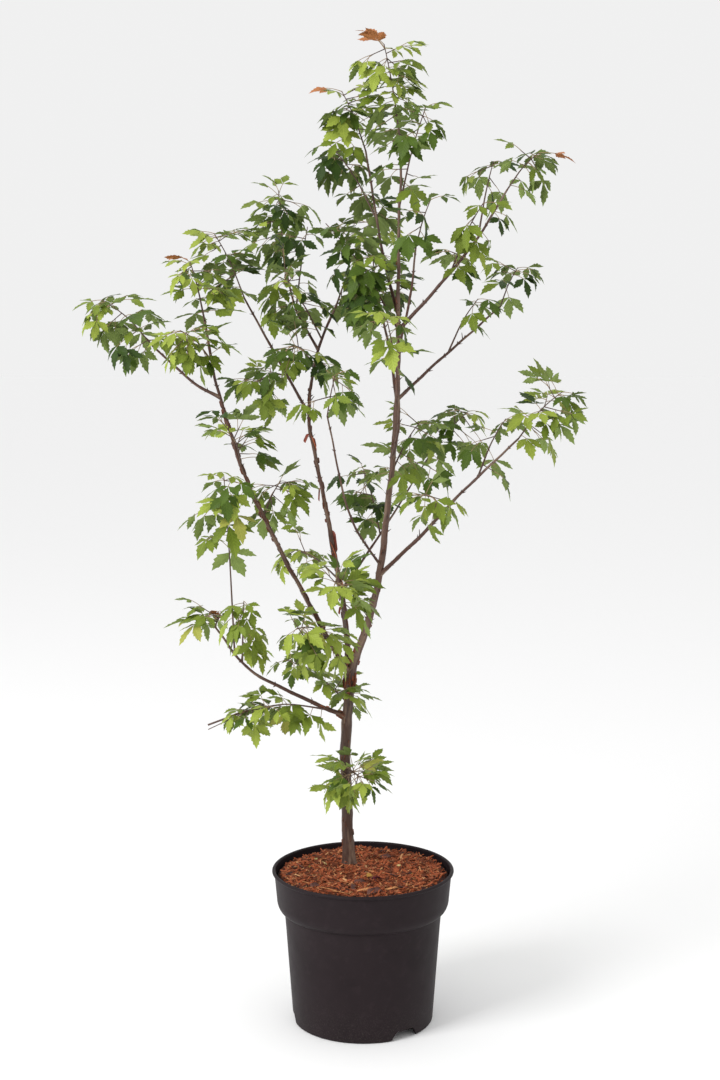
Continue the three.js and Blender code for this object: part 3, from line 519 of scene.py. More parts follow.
class MapleBark(bpy.types.PropertyGroup):
    """Relief and colours of the bark"""
    relief: FloatProperty(
        name="Relief", description="Height of the bark's ridges as a share of the radius",
        default=0.035, min=0)
    peel_count: IntProperty(name="Flakes", description="Dull flakes along the stems", default=240, min=0)
    knot_count: IntProperty(name="Knot", description="Red-brown curls at the fork", default=66, min=0)
    strip_count: IntProperty(name="Strips", description="Bright strips under the fork", default=9, min=0)
    base: colour_setting("Bark", "Colour of sound bark", (0.074, 0.038, 0.026))
    smooth: colour_setting("Smooth bark", "Colour of young smooth bark", (0.125, 0.068, 0.048))
    dark: colour_setting("Dark bark", "Colour of old bark in the hollows", (0.030, 0.013, 0.010))
    pale: colour_setting("Pale bark", "Colour of the worn streaks", (0.25, 0.168, 0.115))
    cinnamon: colour_setting("Cinnamon", "Colour of the peeling curls", (0.33, 0.085, 0.030))


class MapleLeaves(bpy.types.PropertyGroup):
    """Number and colours of the leaves"""
    fullness: FloatProperty(
        name="Fullness", description="Leaves grown for each leaf of the solids", default=2.75, min=1)
    passes: IntProperty(
        name="Passes", description="Times that the finer rule goes along each stem", default=8, min=1)
    # Painted shade: leaves darkened as if shaded by the crown
    shade: colour_setting("Shade green", "Leaves in the crown's own shade", (0.030, 0.058, 0.009))
    # The tone of older leaves, and in the shaded masses also painted shade
    deep: colour_setting("Deep green", "Older leaves", (0.064, 0.108, 0.013))
    green: colour_setting("Green", "Most leaves", (0.150, 0.203, 0.024))
    fresh: colour_setting("Fresh green", "Younger leaves", (0.270, 0.335, 0.050))
    golden: colour_setting("Golden green", "Leaves that yellow", (0.320, 0.330, 0.065))
    bronze: colour_setting("Bronze", "Newest leaves", (0.385, 0.150, 0.055))
    underside: colour_setting("Underside", "Downy undersides of leaves", (0.225, 0.300, 0.085))
    stalk: colour_setting("Leaf stalk", "Leaf stalks", (0.29, 0.19, 0.095))


class MapleStage(bpy.types.PropertyGroup):
    """Floor, light and camera"""
    floor: colour_setting("Floor", "Colour of the floor", (0.95, 0.95, 0.95))
    sky: FloatProperty(name="Sky", description="Strength of the even light", default=0.92, min=0)
    camera_place: FloatVectorProperty(
        name="Camera place", description="Where the camera stands", subtype="TRANSLATION", size=3,
        unit="LENGTH", default=(-0.0057, -3.366, 1.387))
    camera_pitch: FloatProperty(
        name="Camera pitch", description="Angle below the level", subtype="ANGLE", default=0.1323)


# Random numbers and paths, as in the solids

class SeededRandom:
    """Random numbers from a seed, the same on every run."""

    def __init__(self, seed):
        self.state = seed * 7919 % 2147483647

    def draw(self):
        self.state = self.state * 16807 % 2147483647
        return self.state / 2147483647

    def between(self, low, high):
        return low + (high - low) * self.draw()

    def wander(self, reach):
        return reach * (2 * self.draw() - 1)

    def pick(self, choices):
        return choices[min(int(self.draw() * len(choices)), len(choices) - 1)]


def unit(vector):
    return vector / norm(vector)


def turned(vector, axis, angle):
    """A vector turned about a unit axis."""
    cosine = math.cos(angle)
    sine = math.sin(angle)
    return vector * cosine + np.cross(axis, vector) * sine + axis * axis.dot(vector) * (1 - cosine)


def curve_point(knots, span, t):
    a, b, c, d = knots[span - 1:span + 3]
    return 0.5 * (2 * b + (c - a) * t + (2 * a - 5 * b + 4 * c - d) * t * t
                  + (3 * b - a - 3 * c + d) * t * t * t)


class Path:
    """A smooth path through points, kept as even steps of length."""

    def __init__(self, points, steps):
        points = [np.array(point, float) for point in points]
        knots = [2 * points[0] - points[1], *points, 2 * points[-1] - points[-2]]
        dense = [curve_point(knots, span, step / SPAN_STEPS)
                 for span in range(1, len(knots) - 2) for step in range(SPAN_STEPS)]
        dense = np.array(dense + [points[-1]])
        reached = np.concatenate([[0], np.cumsum(norm(np.diff(dense, axis=0), axis=1))])
        wanted = np.linspace(0, reached[-1], steps + 1)
        self.points = np.stack([np.interp(wanted, reached, dense[:, axis]) for axis in range(3)], axis=1)
        self.steps = steps
        self.length = reached[-1]

    def at(self, share):
        place = min(max(share, 0), 1) * self.steps
        index = min(int(place), self.steps - 1)
        return self.points[index] + (self.points[index + 1] - self.points[index]) * (place - index)

    def direction(self, share):
        return unit(self.at(share + 1 / self.steps) - self.at(share - 1 / self.steps))


class Limb:
    """A trunk, stem or bough, laid out as in the solids."""

    def __init__(self, name, bearer, at, radii, points):
        self.name = name
        self.radii = radii
        knots = list(points) if bearer is None else [bearer.path.at(at), *points]
        self.path = Path(knots, LIMB_STEPS)

    def radius(self, share):
        foot, tip = self.radii
        collar = COLLAR_SWELL * foot * np.exp(-share * self.path.length / COLLAR_LENGTH)
        return foot + (tip - foot) * share + collar

    def seat(self, share, outward, depth):
        """A point at a share of the radius from the limb's line."""
        return self.path.at(share) + outward * float(self.radius(share)) * depth


class Mass:
    """The space, stem and leaves of one mass."""

    def __init__(self, name, bearer, at, tip, spread, leaves, index):
        self.name = name
        self.bearer = bearer
        self.at = at
        self.spread = spread
        self.solid_leaves = leaves
        self.most = leaves
        self.scale = 1
        self.sprays = 0
        self.upright = UPRIGHT.get(name, 0)
        self.index = index
        self.random = SeededRandom(index + 1)
        root = bearer.path.at(at)
        tip = np.array(tip, float)
        middle = (root + tip) / 2 + np.array([0, 0, STEM_RISE * norm(tip - root)])
        self.path = Path([root, middle, tip], TWIG_STEPS)
        self.leaves = []


class Leaf:
    """One leaf's stalk and the frame of its three leaflets."""

    def __init__(self, random, root, direction, extra_stalk, vigour):
        self.size = random.between(*LEAF_SIZES) * LEAFLET_LENGTH * vigour
        if math.hypot(direction[0], direction[1]) > LEAST_LEVEL:
            heading = math.atan2(direction[1], direction[0]) + math.radians(random.wander(HEADING_WANDER))
        else:
            heading = 2 * math.pi * random.draw()
        bend = math.radians(random.between(*LEAF_DROOP))
        roll = math.radians(random.wander(LEAF_ROLL))
        self.root = root
        self.stalk = unit(direction + np.array([0, 0, STALK_LIFT]))
        self.centre = root + self.stalk * (random.between(*STALK_LENGTHS) + extra_stalk)
        self.heading = heading
        self.roll = roll
        self.pitch = math.asin(self.stalk[2]) - bend
        self.carries_pair = False
        self.lay_out_blades(0)

    def lay_out_blades(self, lift):
        """The blade's frame, lifted by an angle, its triangles, and its lines with the stalk's."""
        pitch = self.pitch + math.radians(lift)
        across = math.cos(pitch)
        self.forward = np.array([
            math.cos(self.heading) * across, math.sin(self.heading) * across, math.sin(pitch)])
        level = np.array([-math.sin(self.heading), math.cos(self.heading), 0])
        self.side = turned(level, self.forward, self.roll)
        self.top = np.cross(self.forward, self.side)
        self.outline = self.outline_points()
        rim = np.stack([self.outline[:-1], self.outline[1:]], axis=1)
        spokes = np.stack([np.broadcast_to(self.centre, self.outline.shape), self.outline], axis=1)
        self.blades = np.concatenate([spokes[:-1], rim[:, 1:]], axis=1)
        self.lines = np.concatenate([rim, spokes, [[self.root, self.centre]]])

    def blade_point(self, angle, reach, lift):
        return (self.centre + self.forward * reach * math.cos(math.radians(angle))
                + self.side * reach * math.sin(math.radians(angle)) + self.top * lift)

    def outline_points(self):
        return np.array([self.blade_point(angle, self.size * share, -curl * self.size)
                         for angle, share, curl in BLADE_CORNERS])


def near_pieces(points, starts, ends):
    """Distance of each point from each straight piece, and the share of the piece that is nearest."""
    pieces = ends - starts
    offsets = points[:, None, :] - starts[None]
    shares = (offsets * pieces[None]).sum(2) / (pieces * pieces).sum(1)[None]
    shares = np.clip(shares, 0, 1)
    gaps = offsets - pieces[None] * shares[:, :, None]
    return norm(gaps, axis=2), shares


def lines_cross(lines, triangles):
    """Whether any line from one point to another goes through any triangle."""
    start = lines[:, None, 0]
    line = lines[:, None, 1] - start
    corner = triangles[None, :, 0]
    one = triangles[None, :, 1] - corner
    two = triangles[None, :, 2] - corner
    normal = np.cross(line, two)
    scale = (one * normal).sum(2)
    scale = np.where(np.abs(scale) < 1e-9, np.inf, scale)
    offset = start - corner
    u = (offset * normal).sum(2) / scale
    sideways = np.cross(offset, one)
    v = (line * sideways).sum(2) / scale
    t = (two * sideways).sum(2) / scale
    inside = (u >= 0) & (v >= 0) & (u + v <= 1) & (t >= 0) & (t <= 1) & np.isfinite(scale)
    return bool(inside.any())


class Tree:
    """Limbs and masses with their leaves, grown by the solids' rule and carried on to more leaves."""

    def __init__(self, fullness, passes):
        self.limbs = {}
        for name, (bearer, at, radii, points) in LIMBS.items():
            self.limbs[name] = Limb(name, self.limbs.get(bearer), at, radii, points)
        self.masses = {}
        for index, (name, (bearer, at, tip, spread, leaves)) in enumerate(MASSES.items()):
            self.masses[name] = Mass(name, self.limbs[bearer], at, tip, spread, leaves, index)
        self.lay_out_pieces()
        for mass in self.masses.values():
            share = CROWDING.get(mass.name, 1)
            self.grow(mass, round(mass.solid_leaves * fullness * share), passes)

    def lay_out_pieces(self):
        limbs = list(self.limbs.values())
        masses = list(self.masses.values())
        self.limb_starts = np.concatenate([limb.path.points[:-1] for limb in limbs])
        self.limb_ends = np.concatenate([limb.path.points[1:] for limb in limbs])
        self.limb_feet = np.array([limb.radii[0] for limb in limbs])
        self.limb_tips = np.array([limb.radii[1] for limb in limbs])
        self.limb_lengths = np.array([limb.path.length for limb in limbs])
        self.stem_starts = np.concatenate([mass.path.points[:-1] for mass in masses])
        self.stem_ends = np.concatenate([mass.path.points[1:] for mass in masses])
        self.spreads = np.array([mass.spread for mass in masses])

    def limb_gaps(self, points):
        """Distance of each point from each limb's line, and the limb's radius there."""
        distances, shares = near_pieces(points, self.limb_starts, self.limb_ends)
        distances = distances.reshape(len(points), len(self.limbs), LIMB_STEPS)
        shares = shares.reshape(distances.shape)
        nearest = distances.argmin(2)[:, :, None]
        held = np.take_along_axis(shares, nearest, 2)[:, :, 0]
        share = (nearest[:, :, 0] + held) / LIMB_STEPS
        collar = COLLAR_SWELL * self.limb_feet * np.exp(-share * self.limb_lengths / COLLAR_LENGTH)
        radius = self.limb_feet + (self.limb_tips - self.limb_feet) * share + collar
        return np.take_along_axis(distances, nearest, 2)[:, :, 0], radius

    def are_free(self, points, index):
        """Whether every point is in its own mass's space and clear of every limb."""
        distances, _ = near_pieces(points, self.stem_starts, self.stem_ends)
        reach = distances.reshape(len(points), len(self.spreads), TWIG_STEPS).min(2) - self.spreads
        own = reach[:, index].copy()
        reach[:, index] = np.inf
        if (own > 0).any() or (reach.min(1) < own + SPACE_MARGIN).any():
            return False
        gaps, radius = self.limb_gaps(points)
        return not (gaps < radius + LEAF_TO_LIMB).any()

    def leaf_is_free(self, leaf, mass):
        outline = leaf.outline
        stalk = [leaf.root + (leaf.centre - leaf.root) * share for share in STALK_CHECKS]
        points = np.concatenate([
            stalk, [leaf.centre], outline, (outline + leaf.centre) / 2, (outline[1:] + outline[:-1]) / 2])
        if not self.are_free(points, mass.index):
            return False
        limb_lines = np.stack([self.limb_starts, self.limb_ends], axis=1)
        close, _ = near_pieces(leaf.centre[None], self.limb_starts, self.limb_ends)
        limb_lines = limb_lines[close[0] < 2 * LEAFLET_LENGTH]
        if len(limb_lines) and lines_cross(limb_lines, leaf.blades):
            return False
        reach = 2 * LEAFLET_LENGTH * LEAF_SIZES[1]
        near = [other for other in mass.leaves if norm(other.centre - leaf.centre) <= reach]
        if not near:
            return True
        return not (lines_cross(leaf.lines, np.concatenate([other.blades for other in near]))
                    or lines_cross(np.concatenate([other.lines for other in near]), leaf.blades))

    def grow(self, mass, most, finer_passes):
        """The leaves of the solid, drawn at life size, then finer ones between them."""
        path = mass.path
        first_turn = 360 * mass.random.draw()
        ahead = path.direction(1)
        ahead[2] *= TIP_LIFT_SHARE
        ahead = unit(ahead)
        self.add_leaf(mass, path.at(1 - STALK_SINK / path.length), ahead, 0, 0, YOUNG_SHARE)
        for i, setback in enumerate(TIP_PAIR_SETBACKS):
            self.add_leaf(mass, path.at(1 - setback / path.length), ahead, 2 * i - 1, 0, YOUNG_SHARE)
        self.go_along(mass, PASSES, 0.5, first_turn)
        for leaf in mass.leaves:
            leaf.size *= LIFE_SHARE
            leaf.lay_out_blades(mass.random.between(*BLADE_LIFT) + mass.upright)
        mass.scale = FINER_SHARE
        mass.most = most
        self.go_along(mass, finer_passes, FINER_OFFSET, first_turn + FINER_TURN)

    def go_along(self, mass, passes, offset, first_turn):
        """Goes along the mass's stem from its tip back, pass after pass, with a pair at each node."""
        length = mass.path.length
        nodes = int(min(length, LONGEST_LEAFY_STEM) / NODE_SPACING) + 1
        for one_pass in range(passes):
            for node in range(nodes):
                back = (node + offset + one_pass / PASSES) * NODE_SPACING
                share = 1 - back / length
                for half in (0, 180):
                    if len(mass.leaves) >= mass.most or share <= 0:
                        break
                    turn = (first_turn + NODE_TURN * node + PASS_TURN * one_pass + half
                            + mass.random.wander(TURN_WANDER))
                    self.grow_side(mass, share, turn)

    def grow_side(self, mass, share, turn):
        """One side of a node bears a single leaf, or a shoot that ends in a leaf and carries a pair."""
        random = mass.random
        mass.sprays += 1
        start = mass.path.at(share)
        along = mass.path.direction(share)
        level = np.array([-along[1], along[0], 0])
        if norm(level) < LEAST_LEVEL:
            level = np.array([1.0, 0, 0])
        outward = turned(unit(level), along, math.radians(turn))
        lean = math.radians(random.between(*SHOOT_LEAN))
        direction = unit(along * math.cos(lean) + outward * math.sin(lean))
        single = random.draw() < SINGLE_LEAF_SHARE
        extra_stalk = 0 if single else random.between(*SHOOT_SHARE) * mass.spread
        from_tip = (1 - share) * mass.path.length
        vigour = YOUNG_SHARE + (1 - YOUNG_SHARE) * min(from_tip / YOUNG_LENGTH, 1)
        first = self.add_leaf(mass, start, direction, 0, extra_stalk, vigour)
        if first is None or single:
            return
        first.carries_pair = True
        for i, place in enumerate(SHOOT_PAIR_PLACES):
            root = first.root + (first.centre - first.root) * place
            self.add_leaf(mass, root, first.stalk, 2 * i - 1, 0, vigour)

    def add_leaf(self, mass, root, direction, aside, extra_stalk, vigour):
        """A few tries at a leaf from one point, turned aside from the wanted direction."""
        random = mass.random
        for attempt in range(TRIES):
            fan = math.radians(random.between(*LEAF_FAN) * aside + random.wander(RETRY_WANDER * attempt))
            heading = turned(direction, np.array([0, 0, 1.0]), fan)
            leaf = Leaf(random, root, heading, extra_stalk, vigour * mass.scale)
            if mass.scale < 1:
                leaf.lay_out_blades(random.between(*BLADE_LIFT) + mass.upright)
            if len(mass.leaves) < mass.most and self.leaf_is_free(leaf, mass):
                leaf.spray = mass.sprays
                mass.leaves.append(leaf)
                return leaf
        return None


GROWN = {}


def maple_tree():
    """The tree of this scene, grown once and kept for every operator."""
    if "tree" not in GROWN:
        sizes = bpy.context.scene.maple_leaves
        GROWN["tree"] = Tree(sizes.fullness, sizes.passes)
    return GROWN["tree"]


# Meshes

def linked_object(name, data):
    """A new object with its data, in the scene."""
    made = bpy.data.objects.new(name, data)
    bpy.context.scene.collection.objects.link(made)
    return made


def finished_mesh(name, made):
    """A mesh from a bmesh, which is freed."""
    mesh = bpy.data.meshes.new(name)
    made.to_mesh(mesh)
    made.free()
    return mesh


class Pile:
    """Gathers many small shapes, in millimetres, into one mesh."""

    def __init__(self):
        self.points = []
        self.faces = []
        self.places = []
        self.maps = []
        self.count = 0

    def add(self, points, faces, place=None, flat=None):
        self.points.append(np.asarray(points, float))
        self.faces.append(np.asarray(faces) + self.count)
        if place is not None:
            self.places.append(place)
        if flat is not None:
            self.maps.append(flat)
        self.count += len(points)

    def add_twig(self, points, radii, sides, pinch):
        """A tube without a place on bark."""
        corners, faces, _ = tube(points, radii, sides, pinch)
        self.add(corners, faces)

    def mesh_object(self, name, material):
        points = np.concatenate(self.points) * MM
        faces = np.concatenate(self.faces)
        mesh = bpy.data.meshes.new(name)
        mesh.from_pydata(points.tolist(), [], faces.tolist())
        if self.places:
            attribute = mesh.attributes.new("bark_place", "FLOAT_VECTOR", "POINT")
            attribute.data.foreach_set("vector", (np.concatenate(self.places) * MM).ravel())
        if self.maps:
            layer = mesh.uv_layers.new(name="UVMap")
            layer.data.foreach_set("uv", np.concatenate(self.maps)[faces.ravel()].ravel())
        mesh.polygons.foreach_set("use_smooth", [True] * len(faces))
        mesh.materials.append(material)
        mesh.update()
        return linked_object(name, mesh)


def settle(piece, slot, *nodes):
    """Rides on the plant's body and stands for CAD nodes, which it hides. The slot is not used."""
    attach(piece, "root")
    if nodes:
        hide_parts(*nodes)


def tube(points, radii, sides, pinch):
    """A closed round tube through points: corners, faces, and each corner's place on its bark."""
    points = np.asarray(points, float)
    steps = np.diff(points, axis=0)
    reached = np.concatenate([[0], np.cumsum(norm(steps, axis=1))])
    tangents = np.gradient(points, axis=0)
    tangents /= norm(tangents, axis=1)[:, None]
    across = np.array([1.0, 0, 0]) if abs(tangents[0][0]) < 0.9 else np.array([0, 1.0, 0])
    angles = np.arange(sides) * 2 * math.pi / sides
    radii = np.asarray(radii, float)
    if radii.ndim == 1:
        radii = np.repeat(radii[:, None], sides, axis=1)
    cosines = np.cos(angles)
    sines = np.sin(angles)
    rings = []
    for centre, tangent, ring in zip(points, tangents, radii):
        across = unit(across - tangent * across.dot(tangent))
        over = np.cross(tangent, across)
        rings.append(centre + (cosines * ring)[:, None] * across + (sines * ring)[:, None] * over)
    corners = np.concatenate([*rings, points[:1] - tangents[:1] * pinch, points[-1:] + tangents[-1:] * pinch])
    mean = radii.mean(1)
    place = np.stack([
        np.concatenate([np.outer(mean, cosines).ravel(), [0, 0]]),
        np.concatenate([np.outer(mean, sines).ravel(), [0, 0]]),
        np.concatenate([np.repeat(reached, sides), [0, reached[-1]]]),
    ], axis=1)
    return corners, tube_faces(len(points), sides), place


def tube_faces(rows, sides):
    """Two faces for each side of each step, and a fan of them at each end."""
    ring = np.arange(sides)
    after = (ring + 1) % sides
    faces = []
    for row in range(rows - 1):
        low = row * sides
        high = low + sides
        faces.append(np.stack([low + ring, low + after, high + after], axis=1))
        faces.append(np.stack([low + ring, high + after, high + ring], axis=1))
    last = (rows - 1) * sides
    foot = np.full(sides, rows * sides)
    faces.append(np.stack([foot, after, ring], axis=1))
    faces.append(np.stack([foot + 1, last + ring, last + after], axis=1))
    return np.concatenate(faces)


def spun_mesh(name, outline, segments, material):
    """A body of revolution round Z, in millimetres, whose outline starts and ends on the axis."""
    made = bmesh.new()
    rings = []
    for radius, height in outline:
        if radius == 0:
            rings.append([made.verts.new((0, 0, height * MM))])
            continue
        angles = [2 * math.pi * i / segments for i in range(segments)]
        rings.append([made.verts.new((radius * MM * math.cos(a), radius * MM * math.sin(a), height * MM))
                      for a in angles])
    for low, high in zip(rings, rings[1:]):
        for i in range(segments):
            after = (i + 1) % segments
            corners = [low[i % len(low)], low[after % len(low)], high[after % len(high)], high[i % len(high)]]
            corners = list(dict.fromkeys(corners))
            if len(corners) > 2:
                made.faces.new(corners)
    bmesh.ops.recalc_face_normals(made, faces=made.faces)
    for face in made.faces:
        face.smooth = True
    mesh = finished_mesh(name, made)
    mesh.materials.append(material)
    return linked_object(name, mesh)


def arc(centre, radius, start, end, steps):
    """Points of an arc between two angles in degrees."""
    angles = np.radians(np.linspace(start, end, steps))
    return [(centre[0] + radius * math.cos(a), centre[1] + radius * math.sin(a)) for a in angles]


# Shader node groups and materials

def make_group(name, inputs, outputs, tree_kind="ShaderNodeTree"):
    """A node group with named sockets: what it is given, and what it makes."""
    tree = bpy.data.node_groups.new(name, tree_kind)
    for label, kind, value in inputs:
        socket = tree.interface.new_socket(name=label, in_out="INPUT", socket_type="NodeSocket" + kind)
        if value is not None:
            socket.default_value = value
    for label, kind in outputs:
        tree.interface.new_socket(name=label, in_out="OUTPUT", socket_type="NodeSocket" + kind)
    return tree, tree.nodes.new("NodeGroupInput").outputs, tree.nodes.new("NodeGroupOutput").inputs


class Wiring:
    """Adds nodes to a tree and links them."""

    def __init__(self, tree):
        self.tree = tree

    def node(self, kind, settings=None, **values):
        made = self.tree.nodes.new(kind)
        for key, value in (settings or {}).items():
            setattr(made, key, value)
        for key, value in values.items():
            self.feed(made.inputs[key.replace("_", " ")], value)
        return made

    def feed(self, socket, value):
        if isinstance(value, bpy.types.NodeSocket):
            self.tree.links.new(value, socket)
        else:
            socket.default_value = value

    def fed(self, kind, settings, *values):
        """The first output of a node whose sockets are fed in their order."""
        made = self.node(kind, settings)
        for socket, value in zip(made.inputs, values):
            self.feed(socket, value)
        return made.outputs[0]

    def maths(self, operation, *values):
        return self.fed("ShaderNodeMath", {"operation": operation}, *values)

    def group(self, tree, **values):
        return self.node("ShaderNodeGroup", {"node_tree": tree}, **values)

    def random_vector(self, low, high, seed):
        made = self.node("FunctionNodeRandomValue", {"data_type": "FLOAT_VECTOR"}, Seed=seed)
        made.inputs[0].default_value = low
        made.inputs[1].default_value = high
        return made.outputs[0]

    def realized(self, instances, material):
        """Instances made into a real mesh of one material."""
        real = self.node("GeometryNodeRealizeInstances", Geometry=instances)
        return self.node("GeometryNodeSetMaterial", Geometry=real.outputs[0], Material=material).outputs[0]

    def noise(self, vector, scale, detail=2.0, roughness=0.5):
        made = self.node("ShaderNodeTexNoise", Vector=vector, Scale=scale, Detail=detail, Roughness=roughness)
        return made.outputs["Fac"]

    def ramp(self, value, low, high, first=0.0, last=1.0):
        """A value stretched so that low becomes the first number and high the last."""
        return self.fed("ShaderNodeMapRange", None, value, low, high, first, last)

    def mix(self, share, one, other):
        made = self.tree.nodes.new("ShaderNodeMix")
        made.data_type = "RGBA"
        self.feed(made.inputs[0], share)
        self.feed(made.inputs[6], one)
        self.feed(made.inputs[7], other)
        return made.outputs[2]

    def stretched(self, vector, scale):
        made = self.tree.nodes.new("ShaderNodeMapping")
        self.feed(made.inputs["Vector"], vector)
        made.inputs["Scale"].default_value = scale
        return made.outputs["Vector"]


def rgba(colour, share=1.0):
    return (*(min(channel * share, 1) for channel in colour), 1)


def shaded(colour, share):
    return [channel * share for channel in colour]


def material_base(name):
    material = bpy.data.materials.new(name)
    material.use_nodes = True
    wiring = Wiring(material.node_tree)
    shader = material.node_tree.nodes["Principled BSDF"]
    return material, wiring, shader


def set_gloss(shader, specular, rough=None):
    shader.inputs["Specular IOR Level"].default_value = specular
    if rough is not None:
        shader.inputs["Roughness"].default_value = rough


def object_place(wiring):
    return wiring.tree.nodes.new("ShaderNodeTexCoord").outputs["Object"]


def bump(wiring, shader, height, strength, depth):
    made = wiring.node("ShaderNodeBump", Strength=strength, Distance=depth * MM, Height=height)
    wiring.feed(shader.inputs["Normal"], made.outputs["Normal"])


def mottle_group():
    """Colour that wanders between three tones, with a height for the bump."""
    if "Mottle" in bpy.data.node_groups:
        return bpy.data.node_groups["Mottle"]
    tree, given, made = make_group("Mottle", [
        ("Vector", "Vector", None), ("Scale", "Float", 50.0), ("Tone", "Color", None),
        ("Dark", "Color", None), ("Light", "Color", None)],
        [("Color", "Color"), ("Height", "Float")])
    wiring = Wiring(tree)
    broad = wiring.noise(given["Vector"], given["Scale"], detail=3.0, roughness=0.6)
    fine_scale = wiring.maths("MULTIPLY", given["Scale"], 6.0)
    fine = wiring.noise(given["Vector"], fine_scale, detail=3.0, roughness=0.7)
    darker = wiring.ramp(broad, low=0.52, high=0.30)
    lighter = wiring.ramp(fine, low=0.52, high=0.75)
    colour = wiring.mix(darker, given["Tone"], given["Dark"])
    colour = wiring.mix(lighter, colour, given["Light"])
    wiring.feed(made["Color"], colour)
    wiring.feed(made["Height"], wiring.maths("ADD", broad, wiring.maths("MULTIPLY", fine, 0.5)))
    return tree


def bark_group():
    """Bark round a limb: long streaks, dark old patches, worn pale ones and cinnamon where it has peeled."""
    if "Paper bark" in bpy.data.node_groups:
        return bpy.data.node_groups["Paper bark"]
    tree, given, made = make_group("Paper bark", [
        ("Place", "Vector", None), ("Base", "Color", None), ("Dark", "Color", None),
        ("Pale", "Color", None), ("Smooth", "Color", None), ("Cinnamon", "Color", None),
        ("Peeling", "Float", 0.5), ("Smooth From", "Float", 10.0)],
        [("Color", "Color"), ("Height", "Float"), ("Roughness", "Float")])
    wiring = Wiring(tree)
    place = given["Place"]
    along = wiring.stretched(place, (1.0, 1.0, 0.16))
    patchy = wiring.stretched(place, (1.0, 1.0, 0.6))
    around = wiring.stretched(place, (0.25, 0.25, 1.6))
    streak = wiring.noise(along, scale=260.0, detail=4.0, roughness=0.65)
    broad_streak = wiring.noise(along, scale=70.0, detail=3.0, roughness=0.55)
    patch = wiring.noise(patchy, scale=38.0, detail=3.0, roughness=0.6)
    ring = wiring.noise(around, scale=300.0, detail=3.0, roughness=0.6)
    reach = wiring.node("ShaderNodeSeparateXYZ", Vector=place).outputs["Z"]
    smooth_to = wiring.maths("ADD", given["Smooth From"], 0.07)
    smooth = wiring.ramp(reach, given["Smooth From"], smooth_to)
    peeling = wiring.maths("MULTIPLY", given["Peeling"], wiring.maths("SUBTRACT", 1.0, smooth))
    threshold = wiring.maths("SUBTRACT", 0.82, wiring.maths("MULTIPLY", peeling, 0.3))
    peeled = wiring.ramp(patch, threshold, wiring.maths("ADD", threshold, 0.03))
    base = wiring.mix(smooth, given["Base"], given["Smooth"])
    colour = wiring.mix(wiring.ramp(streak, low=0.50, high=0.28), base, given["Dark"])
    colour = wiring.mix(wiring.ramp(broad_streak, low=0.50, high=0.72), colour, given["Pale"])
    colour = wiring.mix(peeled, colour, given["Cinnamon"])
    colour = wiring.mix(wiring.ramp(ring, low=0.62, high=0.78), colour, given["Dark"])
    height = wiring.maths("ADD", streak, wiring.maths("MULTIPLY", ring, 0.4))
    height = wiring.maths("SUBTRACT", height, wiring.maths("MULTIPLY", peeled, 0.5))
    wiring.feed(made["Color"], colour)
    wiring.feed(made["Height"], height)
    wiring.feed(made["Roughness"], wiring.ramp(streak, -0.7, 1.7))
    return tree


def vein_group():
    """The veins of a leaflet from its flat map: a midrib and slanting side veins."""
    if "Leaf veins" in bpy.data.node_groups:
        return bpy.data.node_groups["Leaf veins"]
    tree, given, made = make_group("Leaf veins", [
        ("Map", "Vector", None), ("Veins", "Float", 9.0), ("Slant", "Float", 1.1)],
        [("Vein", "Float"), ("Height", "Float")])
    wiring = Wiring(tree)
    split = wiring.node("ShaderNodeSeparateXYZ", Vector=given["Map"])
    aside = wiring.maths("ABSOLUTE", wiring.maths("SUBTRACT", split.outputs["X"], 0.5))
    ahead = wiring.maths("MULTIPLY", aside, given["Slant"])
    slanted = wiring.maths("SUBTRACT", split.outputs["Y"], ahead)
    phase = wiring.maths("FRACT", wiring.maths("MULTIPLY", slanted, given["Veins"]))
    from_line = wiring.maths("ABSOLUTE", wiring.maths("SUBTRACT", phase, 0.5))
    side_vein = wiring.ramp(from_line, low=0.12, high=0.0)
    midrib = wiring.ramp(aside, low=0.018, high=0.0)
    vein = wiring.maths("MAXIMUM", side_vein, midrib)
    pillow = wiring.ramp(from_line, low=0.0, high=0.5)
    wiring.feed(made["Vein"], vein)
    wiring.feed(made["Height"], pillow)
    return tree


def plastic_material(sizes):
    """Scuffed plastic with dust on its foot."""
    material, wiring, shader, mottle = mottled("pot_plastic", sizes.plastic, PLASTIC_FINISH)
    place = object_place(wiring)
    height = wiring.node("ShaderNodeSeparateXYZ", Vector=place).outputs["Z"]
    low = wiring.ramp(height, DUST_TOP * MM, 0.0)
    speckle = wiring.ramp(wiring.noise(place, scale=420.0, roughness=0.7), 0.50, 0.75)
    dust = wiring.maths("MULTIPLY", speckle, wiring.maths("MULTIPLY", low, DUST_SHARE))
    colour = wiring.mix(dust, mottle.outputs["Color"], rgba(sizes.dust))
    wiring.feed(shader.inputs["Base Color"], colour)
    cloud = wiring.noise(place, scale=30.0, detail=3.0)
    wiring.feed(shader.inputs["Roughness"], wiring.ramp(cloud, 0.0, 1.0, *PLASTIC_ROUGHNESS))
    grain = wiring.noise(place, scale=1500.0)
    bump(wiring, shader, grain, PLASTIC_FINISH.relief, PLASTIC_FINISH.depth)
    return material


def mottled(name, tone, finish):
    """A material with a finish's roughness and specular level, and its mottle."""
    material, wiring, shader = material_base(name)
    mottle = wiring.group(mottle_group(), Vector=object_place(wiring), Scale=finish.scale,
                          Tone=rgba(tone), Dark=rgba(tone, finish.dark), Light=rgba(tone, finish.light))
    set_gloss(shader, finish.specular, finish.rough)
    return material, wiring, shader, mottle


def mottled_material(name, tone, finish):
    """Wood or bark whose tone wanders between darker and lighter, in low relief."""
    material, wiring, shader, mottle = mottled(name, tone, finish)
    wiring.feed(shader.inputs["Base Color"], mottle.outputs["Color"])
    bump(wiring, shader, mottle.outputs["Height"], finish.relief, finish.depth)
    return material


